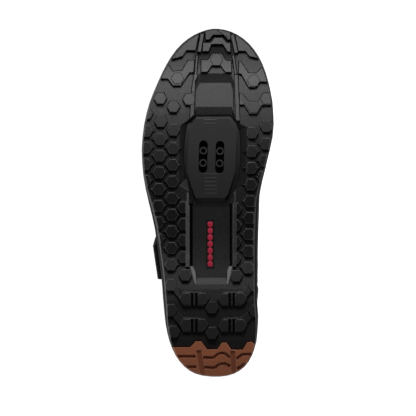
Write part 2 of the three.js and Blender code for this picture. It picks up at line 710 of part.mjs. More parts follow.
// A closed body between two grids of points; the grid may run round into itself
function sheet(outer, inner, closed) {
  const rows = outer.length;
  const columns = outer[0].length;
  const points = [...outer.flat(), ...inner.flat()];
  const layer = rows * columns;
  const triangles = [];
  const cell = (a, b, c, d) => triangles.push([a, b, c], [a, c, d]);
  const at = (i, j) => (i % rows) * columns + j;
  const lastRow = closed ? rows : rows - 1;
  for (let i = 0; i < lastRow; i += 1) {
    for (let j = 0; j < columns - 1; j += 1) {
      cell(at(i, j), at(i + 1, j), at(i + 1, j + 1), at(i, j + 1));
      cell(layer + at(i, j), layer + at(i, j + 1), layer + at(i + 1, j + 1), layer + at(i + 1, j));
    }
    const top = columns - 1;
    cell(at(i + 1, 0), at(i, 0), layer + at(i, 0), layer + at(i + 1, 0));
    cell(at(i, top), at(i + 1, top), layer + at(i + 1, top), layer + at(i, top));
  }
  if (!closed) {
    const end = rows - 1;
    for (let j = 0; j < columns - 1; j += 1) {
      cell(at(0, j), at(0, j + 1), layer + at(0, j + 1), layer + at(0, j));
      cell(at(end, j + 1), at(end, j), layer + at(end, j), layer + at(end, j + 1));
    }
  }
  return solid(points, triangles);
}

const upperTurns = 56;
const upperRises = 7;
const rimRoom = 0.012;

// The wall of the upper, or the room that it needs with a clearance on both faces
function upper(clearance = 0) {
  const past = clearance > 0 ? rimRoom : 0;
  const rise = (j) => THREE.MathUtils.lerp(-past, 1 + past, j / upperRises);
  const grid = (distance) =>
    Array.from({ length: upperTurns }, (_, i) =>
      Array.from({ length: upperRises + 1 }, (_, j) => offsetPoint((2 * i) / upperTurns, rise(j), distance)));
  return sheet(grid(clearance), grid(-upperWall - clearance), true);
}
const upperRoom = upper(seat);

// Panels laid on the upper: the turns they run between, and how high they rise at their ends and middle
const toeCap = { from: 0.72, to: 1.28, low: 0.01, ends: 0.12, middle: 0.42, fullness: 0.8, steps: 15 };
const heelCounter = { from: -0.34, to: 0.34, low: 0.01, ends: 0.12, middle: 0.58, fullness: 0.7, steps: 14 };
const overlayRises = 3;

function overlay({ from, to, low, ends, middle, fullness, steps }) {
  const grid = (distance) =>
    Array.from({ length: steps + 1 }, (_, i) => {
      const share = i / steps;
      const turn = THREE.MathUtils.lerp(from, to, share);
      const high = THREE.MathUtils.lerp(ends, middle, Math.sin(Math.PI * share) ** fullness);
      return Array.from({ length: overlayRises + 1 }, (_, j) =>
        offsetPoint(turn, THREE.MathUtils.lerp(low, high, j / overlayRises), distance));
    });
  return largest(sheet(grid(seat + overlayThickness), grid(-upperWall / 2), false).subtract(upperRoom));
}

// The turn round the shoe at which a level of the upper reaches a distance x from the heel
function turnAt(x, rise, side) {
  let near = 0;
  let far = 1;
  for (let i = 0; i < 30; i += 1) {
    const middle = (near + far) / 2;
    if (upperPoint(middle, side, rise).x < x) {
      near = middle;
    } else {
      far = middle;
    }
  }
  return side > 0 ? near : 2 - near;
}

// A band across the shoe, over the throat at a distance x from the heel: from low on the medial side
// to low on the lateral side, where its end may lie further back
function bandSection(x, { medialLow, lateralLow, crown, setBack = 0, sideSteps = 5, bridgeSteps = 4 }, distance) {
  const points = [];
  const onSide = (side, low, i) => {
    const share = i / sideSteps;
    const rise = THREE.MathUtils.lerp(low, 1, share);
    const back = side < 0 ? setBack * (1 - share ** 2) : 0;
    return offsetPoint(turnAt(x - back, rise, side), rise, distance);
  };
  for (let i = 0; i <= sideSteps; i += 1) {
    points.push(onSide(1, medialLow, i));
  }
  const start = points[points.length - 1];
  const end = onSide(-1, lateralLow, sideSteps);
  for (let i = 1; i < bridgeSteps; i += 1) {
    const share = i / bridgeSteps;
    const point = start.clone().lerp(end, share);
    point.z += crown * 4 * share * (1 - share);
    points.push(point);
  }
  for (let i = sideSteps; i >= 0; i -= 1) {
    points.push(onSide(-1, lateralLow, i));
  }
  return points;
}

// Straps: where they cross the throat, how low each end reaches, how high they stand over the throat
const instepStrap = {
  along: 0.452, width: instepStrapWidth, steps: 4, medialLow: 0.62, lateralLow: 0.2, crown: 8, setBack: 36.5,
};
const middleStrap = { along: 0.553, width: forefootStrapWidth, steps: 3, medialLow: 0.66, lateralLow: 0.6, crown: 6 };
const frontStrap = { along: 0.635, width: forefootStrapWidth, steps: 3, medialLow: 0.66, lateralLow: 0.64, crown: 3 };

function strap({ along, width, steps, ...ends }) {
  const centre = along * shoeLength;
  const grid = (distance) =>
    Array.from({ length: steps + 1 }, (_, i) => bandSection(centre + width * (i / steps - 0.5), ends, distance));
  const band = sheet(grid(seat + strapThickness), grid(-upperWall / 2), false);
  return largest(band.subtract(upperRoom).subtract(tongueRoom));
}

// The tongue lies under the throat and stands up out of the collar, here with a clearance on both faces
const tongueFrom = 0.4;
const tongueTo = 0.665;
const tongueEnds = { medialLow: 0.88, lateralLow: 0.88, crown: 2, sideSteps: 2 };

function tongue(clearance = 0) {
  const start = tongueFrom * shoeLength;
  const finish = tongueTo * shoeLength;
  const steps = 6;
  const flapSteps = 2;
  const grid = (distance) => {
    const rows = Array.from({ length: steps + 1 }, (_, i) =>
      bandSection(finish + (start - finish) * (i / steps), tongueEnds, distance));
    const edge = rows[steps];
    for (let i = 1; i <= flapSteps; i += 1) {
      const share = i / flapSteps;
      rows.push(edge.map((point) => {
        const lifted = point.clone();
        lifted.x -= tongueFlap * flapLean * share;
        lifted.z += tongueFlap * share;
        return lifted;
      }));
    }
    return rows;
  };
  const top = -(upperWall + seat);
  return sheet(grid(top + clearance), grid(top - tongueThickness - clearance), false);
}
const tongueRoom = tongue(2 * seat);

const finishes = {
  rubber: { color: 0x2b2b2d, roughness: 0.75, metalness: 0, density: 1.15 },
  gum: { color: 0x9a5a3a, roughness: 0.7, metalness: 0, density: 1.15 },
  nylon: { color: 0x262628, roughness: 0.5, metalness: 0, density: 1.05 },
  foam: { color: 0x3a3a3c, roughness: 0.9, metalness: 0, density: 0.25 },
  leather: { color: 0x1d1d1f, roughness: 0.6, metalness: 0, density: 0.75 },
  webbing: { color: 0x161618, roughness: 0.85, metalness: 0, density: 0.7 },
  steel: { color: 0x8a8a8c, roughness: 0.35, metalness: 1, density: 7.8 },
};

const shoe = new THREE.Group();

function addPiece(name, body, finish) {
  const { vertProperties, triVerts } = body.getMesh();
  const geometry = new THREE.BufferGeometry();
  geometry.setAttribute('position', new THREE.BufferAttribute(vertProperties, 3));
  geometry.setIndex(new THREE.BufferAttribute(triVerts, 1));
  geometry.computeVertexNormals();
  const { color, roughness, metalness, density } = finishes[finish];
  const mesh = new THREE.Mesh(geometry, new THREE.MeshStandardMaterial({ color, roughness, metalness }));
  mesh.name = name;
  mesh.userData.density = density;
  shoe.add(mesh);
}

addPiece('outsole', outsole(), 'rubber');
addPiece('heel_insert', heelInsert(), 'gum');
addPiece('midsole', midsole(), 'nylon');
addPiece('cleat_nut', cleatNut(), 'steel');
addPiece('insole', insole(), 'foam');
addPiece('upper', upper(), 'leather');
addPiece('tongue', largest(tongue().subtract(upperRoom)), 'leather');
addPiece('toe_cap', overlay(toeCap), 'leather');
addPiece('heel_counter', overlay(heelCounter), 'leather');
addPiece('instep_strap', strap(instepStrap), 'webbing');
addPiece('middle_strap', strap(middleStrap), 'webbing');
addPiece('front_strap', strap(frontStrap), 'webbing');

// Weight centre of the standing shoe
function weightCentre() {
  const sum = new THREE.Vector3();
  let weight = 0;
  for (const mesh of shoe.children) {
    const { position } = mesh.geometry.attributes;
    const { index } = mesh.geometry;
    const corner = (i) => new THREE.Vector3().fromBufferAttribute(position, index.getX(i));
    for (let i = 0; i < index.count; i += 3) {
      const [a, b, c] = [corner(i), corner(i + 1), corner(i + 2)];
      const volume = (a.dot(b.clone().cross(c)) / 6) * mesh.userData.density;
      weight += volume;
      sum.addScaledVector(a.add(b).add(c), volume / 4);
    }
  }
  return sum.divideScalar(weight);
}

// The direction that points to the floor: the side of the hull under the weight, on the medial side
function restingDirection() {
  const points = [];
  for (const mesh of shoe.children) {
    const { position } = mesh.geometry.attributes;
    for (let i = 0; i < position.count; i += 1) {
      points.push(new THREE.Vector3().fromBufferAttribute(position, i));
    }
  }
  const centre = weightCentre();
  const hull = new ConvexHull().setFromPoints(points);
  let best = null;
  for (const face of hull.faces) {
    const distance = face.normal.dot(face.midpoint.clone().sub(centre));
    const foot = centre.clone().addScaledVector(face.normal, distance);
    let inside = true;
    let edge = face.edge;
    do {
      const side = edge.head().point.clone().sub(edge.tail().point);
      const reach = foot.clone().sub(edge.tail().point);
      inside = inside && side.cross(reach).dot(face.normal) >= 0;
      edge = edge.next;
    } while (edge !== face.edge);
    if (inside && face.normal.y > 0.7 && (!best || face.normal.y > best.y)) {
      best = face.normal.clone();
    }
  }
  return best;
}

const towardsFloor = restingDirection();
const laid = new THREE.Quaternion().setFromUnitVectors(towardsFloor, up.clone().negate());
const toeway = new THREE.Vector3(1, 0, 0).applyQuaternion(laid);
const straighten = new THREE.Quaternion().setFromAxisAngle(up, -Math.atan2(toeway.y, toeway.x));
shoe.quaternion.copy(straighten.multiply(laid));

const object = new THREE.Group();
object.add(shoe);
const box = new THREE.Box3().setFromObject(object, true);
shoe.position.set(-(box.min.x + box.max.x) / 2, -(box.min.y + box.max.y) / 2, -box.min.z);

export default object;
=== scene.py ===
"""Looks of a right cycling shoe that lies on its inner side.

Pieces are worked out on the standing shoe in millimetres (x to the toe, y to the inner side, z up)
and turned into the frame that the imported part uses, in metres.
"""

import json
import math
from functools import lru_cache

import bmesh
import bpy
from mathutils import Matrix, Vector


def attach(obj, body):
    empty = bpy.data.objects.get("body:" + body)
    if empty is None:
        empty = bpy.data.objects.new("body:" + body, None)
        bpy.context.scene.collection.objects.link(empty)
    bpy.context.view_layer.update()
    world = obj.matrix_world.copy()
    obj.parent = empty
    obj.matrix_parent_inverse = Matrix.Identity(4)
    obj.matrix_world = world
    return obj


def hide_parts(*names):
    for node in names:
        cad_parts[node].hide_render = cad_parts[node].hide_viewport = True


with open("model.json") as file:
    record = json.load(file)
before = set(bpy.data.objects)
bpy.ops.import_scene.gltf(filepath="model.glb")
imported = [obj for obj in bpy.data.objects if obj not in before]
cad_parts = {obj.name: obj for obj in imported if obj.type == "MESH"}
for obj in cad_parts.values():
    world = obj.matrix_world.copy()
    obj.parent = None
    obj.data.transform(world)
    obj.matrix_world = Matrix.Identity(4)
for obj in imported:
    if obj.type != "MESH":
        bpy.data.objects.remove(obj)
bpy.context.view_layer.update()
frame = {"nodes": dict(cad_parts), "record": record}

# Sizes of the last and the sole
SHOE_LENGTH = 295
BALL_WIDTH = 110
TOE_SPRING = 24
ARCH_RISE = 6
HEEL_BEVEL = 7
LUG_HEIGHT = 4
WEB_THICKNESS = 3
FOREFOOT_THICKNESS = 5.5
HEEL_THICKNESS = 19
SEAT = 0.3
UPPER_WALL = 1.8
FEATHER_INSET = 2.6
COLLAR_HEIGHT = 96
STRAP_THICKNESS = 2.4
TONGUE_THICKNESS = 3.2
TONGUE_FLAP = 24
TONGUE_FREE = 1.35
TONGUE_FRONT = Vector((0.91, 0, 0.41))
TICK_PITCH = 3.27
TONGUE_ROOT = 0.683
TONGUE_PADDING = 4.2

# The cleat seat: a flat face on the sole, seen from the ground
CLEAT_TILT = math.radians(2)
CLEAT_TURN = math.radians(1.6)
CLEAT_SEAT = Vector((185.6, 1.25, 5.6))

# Outline each side of the centre line, as shares of length and ball width
OUTLINE = {
    "along": (0, 0.007, 0.03, 0.0645, 0.116, 0.168, 0.219, 0.288, 0.357, 0.426, 0.495,
              0.546, 0.598, 0.65, 0.718, 0.77, 0.839, 0.8905, 0.942, 0.9765, 0.9937, 1),
    "lateral": (0.046, -0.098, -0.198, -0.27, -0.322, -0.347, -0.358, -0.375, -0.4, -0.425, -0.4675,
                -0.498, -0.518, -0.5237, -0.5075, -0.477, -0.407, -0.343, -0.253, -0.147, -0.05, 0.041),
    "medial": (0.046, 0.171, 0.268, 0.328, 0.362, 0.369, 0.36, 0.36, 0.36, 0.362, 0.368,
               0.385, 0.4245, 0.4606, 0.489, 0.485, 0.4537, 0.412, 0.3345, 0.238, 0.1446, 0.041),
}

# Height of the tread plane as shares of toe spring, arch rise and heel bevel, and the midsole's wedge
PROFILE = {
    "along": (0, 0.03, 0.07, 0.12, 0.22, 0.29, 0.36, 0.42, 0.48, 0.54, 0.6, 0.66, 0.72, 0.78, 0.85, 0.92, 1),
    "toe": (0, 0, 0, 0, 0, 0, 0, 0, 0, 0, 0, 0.02, 0.08, 0.2, 0.42, 0.68, 1),
    "arch": (0, 0, 0, 0, 0, 0.55, 1, 0.85, 0.4, 0.12, 0, 0, 0, 0, 0, 0, 0),
    "heel": (1, 0.6, 0.2, 0, 0, 0, 0, 0, 0, 0, 0, 0, 0, 0, 0, 0, 0),
    "wedge": (1, 1, 1, 1, 1, 0.9, 0.7, 0.52, 0.36, 0.22, 0.1, 0.02, 0, 0, 0, 0, 0),
}

# Topline of the upper from the heel (0) to the front of the throat (1), and how the wall bends up to it
LAST = {
    "round": (0, 0.1, 0.2, 0.3, 0.4, 0.5, 0.58, 0.66, 0.76, 0.86, 0.94, 1),
    "along": (0.04, 0.05, 0.095, 0.165, 0.245, 0.325, 0.39, 0.45, 0.53, 0.61, 0.665, 0.685),
    "half": (0, 0.13, 0.235, 0.275, 0.265, 0.225, 0.17, 0.145, 0.13, 0.11, 0.07, 0),
    "height": (0.97, 0.965, 0.93, 0.85, 0.815, 0.88, 1, 0.945, 0.845, 0.745, 0.685, 0.665),
    "bulge": (3.4, 3.2, 3, 3.4, 4.4, 6, 6, 6, 5, 3.5, 1.6, 0.4),
    "rise": (0.42, 0.42, 0.42, 0.42, 0.44, 0.46, 0.47, 0.48, 0.5, 0.58, 0.66, 0.7),
    "shoulder": (0.5, 0.5, 0.5, 0.5, 0.5, 0.58, 0.64, 0.68, 0.68, 0.66, 0.62, 0.6),
    "drop": (0.36, 0.36, 0.34, 0.3, 0.28, 0.24, 0.24, 0.28, 0.33, 0.3, 0.18, 0.05),
    "slide": (1, 1, 1, 0.7, 0.4, 0.3, 0.3, 0.4, 0.55, 0.8, 0.95, 1),
}

# Straps: where they cross the throat, how low each end reaches, and how round the free end is
INSTEP_STRAP = {
    "along": 0.452, "width": 30, "medial": 0.62, "lateral": 0.2,
    "crown": 8, "set_back": 36.5, "stand_off": 2.2, "tip": 0.05,
}
MIDDLE_STRAP = {
    "along": 0.553, "width": 18, "medial": 0.66, "lateral": 0.6,
    "crown": 6, "set_back": 0, "stand_off": 0, "tip": 0.3,
}
FRONT_STRAP = {
    "along": 0.635, "width": 18, "medial": 0.66, "lateral": 0.64,
    "crown": 3, "set_back": 0, "stand_off": 0, "tip": 0.3,
}
TONGUE_ENDS = {"medial": 0.88, "lateral": 0.88, "crown": 2, "set_back": 0}

# Overlays on the upper: where they run round the shoe, and how high at their ends and in the middle
TOE_CAP = {"first": 0.72, "final": 1.28, "ends": 0.12, "middle": 0.42, "fullness": 0.8}
HEEL_COUNTER = {"first": -0.34, "final": 0.34, "ends": 0.12, "middle": 0.58, "fullness": 0.7}
OVERLAY_THICKNESS = 1.2

MM = 0.001


def clamp(value, low=0.0, high=1.0):
    return max(low, min(high, value))


def lerp(a, b, share):
    return a + (b - a) * share


def smooth(value, low=0.0, high=1.0):
    share = clamp((value - low) / (high - low))
    return share * share * (3 - 2 * share)


def axes(first, second):
    """A turn whose columns are two square directions and the one square to both."""
    first = first.normalized()
    second = second.normalized()
    return Matrix((first, second, first.cross(second))).transposed()


def standing_frame():
    """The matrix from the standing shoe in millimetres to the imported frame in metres."""
    seat = frame["record"]["mounts"][0]
    slide = frame["record"]["behaviour"]["joints"][0]
    along = Vector((math.cos(CLEAT_TURN), math.sin(CLEAT_TURN), math.cos(CLEAT_TURN) * math.tan(CLEAT_TILT)))
    outward = Vector((math.tan(CLEAT_TILT), 0, -1))
    turn = axes(Vector(slide["axis"]), Vector(seat["axis"])) @ axes(along, outward).transposed()
    shift = Vector(seat["pos_m"]) - turn @ CLEAT_SEAT * MM
    return Matrix.Translation(shift) @ (turn * MM).to_4x4()


ROW = standing_frame()
STANDING = ROW.inverted()


def column(rows, name, key, turn=lambda value: value):
    """Smooth curve through one column of a table, without overshoot between rows."""
    places = [turn(value) for value in rows[key]]
    values = rows[name]
    finish = len(places) - 1
    steps = [(values[i + 1] - values[i]) / (places[i + 1] - places[i]) for i in range(finish)]
    slopes = [steps[0]]
    for i in range(1, finish):
        product = steps[i - 1] * steps[i]
        slopes.append(0 if product <= 0 else 2 * product / (steps[i - 1] + steps[i]))
    slopes.append(steps[-1])

    def value_at(share):
        place = clamp(turn(share), places[0], places[-1])
        i = 0
        while i < finish - 1 and place > places[i + 1]:
            i += 1
        width = places[i + 1] - places[i]
        s = (place - places[i]) / width
        start = (1 + 2 * s) * (1 - s) ** 2 * values[i] + s * (1 - s) ** 2 * width * slopes[i]
        return start + s * s * (3 - 2 * s) * values[i + 1] + s * s * (s - 1) * width * slopes[i + 1]

    return value_at


def round_end(share):
    return math.acos(1 - 2 * clamp(share))


outline = {name: column(OUTLINE, name, "along", round_end) for name in ("lateral", "medial")}
profile = {name: column(PROFILE, name, "along") for name in ("toe", "arch", "heel", "wedge")}
last = {name: column(LAST, name, "round") for name in LAST if name != "round"}


def tread_height(x):
    share = x / SHOE_LENGTH
    toe = TOE_SPRING * profile["toe"](share)
    arch = ARCH_RISE * profile["arch"](share)
    return toe + arch + HEEL_BEVEL * profile["heel"](share)


def midsole_bottom(x):
    return tread_height(x) + LUG_HEIGHT + WEB_THICKNESS + SEAT


def bed_height(x):
    return midsole_bottom(x) + lerp(FOREFOOT_THICKNESS, HEEL_THICKNESS, profile["wedge"](x / SHOE_LENGTH))


def edges(share, inset):
    """Edges of the outline at a share of the length, drawn in by an inset."""
    x = inset + share * (SHOE_LENGTH - 2 * inset)
    lateral = outline["lateral"](share)
    medial = outline["medial"](share)
    middle = (lateral + medial) / 2
    narrow = 1 - 2 * inset / BALL_WIDTH
    lateral = middle + (lateral - middle) * narrow
    medial = middle + (medial - middle) * narrow
    return x, BALL_WIDTH * lateral, BALL_WIDTH * medial


def round_share(around):
    return (1 - math.cos(math.pi * clamp(around))) / 2


@lru_cache(maxsize=None)
def wall_curve(around, side):
    """The four points of the curve that the upper's outer face follows from the sole up to the topline."""
    x, lateral, medial = edges(round_share(around), FEATHER_INSET)
    foot = Vector((x, medial if side > 0 else lateral, bed_height(x) + SEAT))
    top_x = last["along"](around) * SHOE_LENGTH
    top_share = top_x / SHOE_LENGTH
    middle = BALL_WIDTH * (outline["lateral"](top_share) + outline["medial"](top_share)) / 2
    top_y = middle + side * last["half"](around) * BALL_WIDTH
    top = Vector((top_x, top_y, last["height"](around) * COLLAR_HEIGHT))
    near = edges(round_share(around - 0.01), FEATHER_INSET)
    far = edges(round_share(around + 0.01), FEATHER_INSET)
    pick = 2 if side > 0 else 1
    outward = (Vector((near[pick] - far[pick], far[0] - near[0], 0)) * side).normalized()
    height = top.z - foot.z
    lower = foot + outward * last["bulge"](around)
    lower.z += height * last["rise"](around)
    shoulder = last["shoulder"](around)
    upper = top.lerp(foot, shoulder)
    upper.x = lerp(top.x, foot.x, shoulder * last["slide"](around))
    upper.z = top.z - height * last["drop"](around)
    return foot, lower, upper, top


def upper_point(around, side, rise):
    """The upper's outer face: around runs from heel 0 to toe 1, rise from the sole 0 to the topline 1."""
    foot, lower, upper, top = wall_curve(around, side)
    stay = 1 - rise
    return (foot * stay ** 3 + lower * (3 * rise * stay ** 2)
            + upper * (3 * rise ** 2 * stay) + top * rise ** 3)


def around_point(turn, rise):
    """The same face by an angle round the shoe: heel 0, toe 1, and back on the outer side to 2."""
    whole = turn % 2
    return upper_point(whole, 1, rise) if whole <= 1 else upper_point(2 - whole, -1, rise)


def skin(turn, rise, distance=0.0):
    """A point of the upper's face, moved square to it, outwards where the distance is positive."""
    step = 0.004
    point = around_point(turn, rise)
    along = around_point(turn + step, rise) - around_point(turn - step, rise)
    climb = around_point(turn, rise + step) - around_point(turn, rise - step)
    normal = climb.cross(along)
    if rise <= 0:
        normal.z = 0
    return point + normal.normalized() * distance


# Soft creases where the forefoot bends: place, bend across the foot, depth, width and reach
FLEX_CREASES = (
    {"x": 207, "bend": 0.006, "depth": 0.9, "width": 4.2, "reach": 42},
    {"x": 220, "bend": 0.005, "depth": 1.2, "width": 4.8, "reach": 46},
    {"x": 233, "bend": 0.004, "depth": 0.7, "width": 4.0, "reach": 38},
)
# Soft creases below the ankle, which lean as they climb
ANKLE_CREASES = (
    {"x": 84, "z": 62, "lean": 0.55, "depth": 0.9, "width": 3.4, "reach": 20},
    {"x": 97, "z": 58, "lean": 0.7, "depth": 1.1, "width": 3.8, "reach": 22},
    {"x": 52, "z": 60, "lean": -0.5, "depth": 0.7, "width": 3.2, "reach": 16},
)


# Ridge on each side of a crease: height as a share of its depth, distance as a share of its width
RIDGE_HEIGHT = 0.45
RIDGE_PLACE = 1.9
COLLAR_FULLNESS = 1.2
WOVEN_DEPTH = 0.5
ARCH_FULLNESS = 2.0


def trough(offset, width):
    """A soft trough with a low ridge on each side of it."""
    share = offset / width
    return -math.exp(-share * share) + RIDGE_HEIGHT * math.exp(-(abs(share) - RIDGE_PLACE) ** 2)


def creases(point):
    """How far the creases move the upper's face at a point, in millimetres outwards."""
    total = 0.0
    for fold in FLEX_CREASES:
        away = point.x - fold["x"] + fold["bend"] * point.y ** 2
        high = smooth(point.z, 30, 46)
        fade = high * (1 - smooth(abs(point.y), fold["reach"] * 0.6, fold["reach"]))
        total += fold["depth"] * fade * trough(away, fold["width"])
    for fold in ANKLE_CREASES:
        climb = point.z - fold["z"]
        away = point.x - fold["x"] - fold["lean"] * climb
        fade = 1 - smooth(abs(climb), fold["reach"] * 0.4, fold["reach"])
        total += fold["depth"] * fade * trough(away, fold["width"])
    return total


def mesh_window(turn, rise):
    """One inside the woven side panels of the upper, nought outside, with a narrow edge between."""
    round_place = turn % 2 if turn % 2 <= 1 else 2 - turn % 2
    middle = 0.4 + 0.1 * math.sin((round_place - 0.42) * 8)
    tall = 0.17 * smooth(round_place, 0.44, 0.54) * (1 - smooth(round_place, 0.66, 0.78))
    return 1 - smooth(abs(rise - middle) - tall, -0.004, 0.014) if tall > 0.02 else 0.0


def arch_fullness(point):
    """How far the upper swells over the sole's inner edge along the arch, in millimetres."""
    along = smooth(point.x, 58, 84) * (1 - smooth(point.x, 140, 168))
    high = smooth(point.z, 18, 34) * (1 - smooth(point.z, 56, 84))
    return ARCH_FULLNESS * along * high if point.y > 0 else 0.0


def face(turn, rise, distance=0.0):
    """The upper's face as it looks, with creases, sunken side panels and a fuller collar."""
    plain = skin(turn, rise)
    collar = collar_share(turn) * smooth(rise, 0.72, 0.9) * COLLAR_FULLNESS
    sunken = WOVEN_DEPTH * mesh_window(turn, rise)
    return skin(turn, rise, distance + creases(plain) - sunken + collar + arch_fullness(plain))


def collar_share(turn):
    """One round the collar, nought along the throat."""
    round_place = turn % 2 if turn % 2 <= 1 else 2 - turn % 2
    return 1 - smooth(round_place, 0.4, 0.56)


@lru_cache(maxsize=None)
def turn_at(x, rise, side):
    """The turn at which a level of the upper reaches a distance x from the heel."""
    near, far = 0.0, 1.0
    for _ in range(24):
        middle = (near + far) / 2
        if upper_point(middle, side, rise).x < x:
            near = middle
        else:
            far = middle
    return near if side > 0 else 2 - near


# Meshes


def made_mesh(work, name):
    """Ends the work on a bmesh and keeps it as a mesh."""
    mesh = bpy.data.meshes.new(name)
    work.to_mesh(mesh)
    work.free()
    return mesh


def smooth_faces(work):
    for each in work.faces:
        each.smooth = True


def new_object(name, points, faces, material):
    """A smooth mesh from standing points in millimetres."""
    work = bmesh.new()
    corners = [work.verts.new(ROW @ point) for point in points]
    for loop in faces:
        work.faces.new([corners[i] for i in loop])
    bmesh.ops.recalc_face_normals(work, faces=work.faces)
    smooth_faces(work)
    return place_object(name, made_mesh(work, name), material)


def place_object(name, mesh, material, body="shoe"):
    """Gives a mesh its material and lets it ride on a body."""
    keep_standing(mesh)
    mesh.materials.clear()
    mesh.materials.append(material)
    obj = bpy.data.objects.new(name, mesh)
    bpy.context.scene.collection.objects.link(obj)
    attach(obj, body)
    return obj


def keep_standing(mesh):
    """Stores each corner's place on the standing shoe and its height over the tread plane."""
    places = [STANDING @ vertex.co for vertex in mesh.vertices]
    foot = mesh.attributes.new("foot", "FLOAT_VECTOR", "POINT")
    foot.data.foreach_set("vector", [value for point in places for value in point])
    over = mesh.attributes.new("over", "FLOAT", "POINT")
    over.data.foreach_set("value", [point.z - tread_height(point.x) for point in places])


# Edges shorter than this many bevel widths leave their corners sharp
TIGHT_EDGE = 2.4
# Edges bent by more than these angles, in degrees, are rounded, or stay sharp on pieces made here
SHARP_ANGLE = 24
CREASE_ANGLE = 35


def polished_copy(node, name, material, width, body="shoe", segments=2, facet=24):
    """A finer copy of a CAD node with its edges rounded, which stands for that node."""
    source = frame["nodes"][node]
    work = bmesh.new()
    work.from_mesh(source.data)
    bmesh.ops.remove_doubles(work, verts=work.verts, dist=2e-6)
    bmesh.ops.dissolve_limit(work, angle_limit=math.radians(0.4), verts=work.verts, edges=work.edges)
    tight = {v for e in work.edges if e.calc_length() < TIGHT_EDGE * width * MM for v in e.verts}
    bent = [e for e in work.edges if e.calc_face_angle(0) > math.radians(SHARP_ANGLE)]
    sharp = [e for e in bent if not tight & set(e.verts)]
    bmesh.ops.bevel(
        work, geom=sharp, offset=width * MM, offset_type="OFFSET", affect="EDGES",
        segments=segments, profile=0.5, material=-1, clamp_overlap=True, face_strength_mode="AFFECTED",
    )
    bmesh.ops.triangulate(work, faces=[each for each in work.faces if len(each.verts) > 4])
    smooth_faces(work)
    for edge in work.edges:
        edge.smooth = edge.calc_face_angle(0) < math.radians(facet)
    obj = place_object(name, made_mesh(work, name), material, body)
    weighted = obj.modifiers.new("even", "WEIGHTED_NORMAL")
    weighted.weight = 100
    weighted.keep_sharp = True
    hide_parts(node)
    return obj


def grid_faces(rows, columns, closed=False, start=0):
    """Faces between neighbours of a grid of points, closed to a ring both ways or open."""
    faces = []
    for i in range(rows if closed else rows - 1):
        for j in range(columns if closed else columns - 1):
            near = start + i * columns
            far = start + (i + 1) % rows * columns
            k = (j + 1) % columns
            faces.append([near + j, far + j, far + k, near + k])
    return faces


def panel(name, outer, inner, material):
    """A closed pad between two grids of points with the same rows and columns."""
    rows, columns = len(outer), len(outer[0])
    layer = rows * columns
    points = [p for row in outer for p in row] + [p for row in inner for p in row]
    faces = grid_faces(rows, columns) + grid_faces(rows, columns, start=layer)
    border = [i * columns for i in range(rows)]
    border += [(rows - 1) * columns + j for j in range(1, columns)]
    border += [i * columns + columns - 1 for i in range(rows - 2, -1, -1)]
    border += [j for j in range(columns - 2, 0, -1)]
    for i, a in enumerate(border):
        b = border[(i + 1) % len(border)]
        faces.append([a, b, layer + b, layer + a])
    return new_object(name, points, faces, material)


# Materials


class Wire:
    """The output of a shader node, used in sums like a number."""

    def __init__(self, shader, socket):
        self.shader = shader
        self.socket = socket

    def math(self, operation, *values):
        return self.shader.node("ShaderNodeMath", {"operation": operation}, dict(enumerate(values)))

    def __add__(self, other):
        return self.math("ADD", self, other)

    def __radd__(self, other):
        return self.math("ADD", other, self)

    def __sub__(self, other):
        return self.math("SUBTRACT", self, other)

    def __rsub__(self, other):
        return self.math("SUBTRACT", other, self)

    def __mul__(self, other):
        return self.math("MULTIPLY", self, other)

    def __rmul__(self, other):
        return self.math("MULTIPLY", other, self)


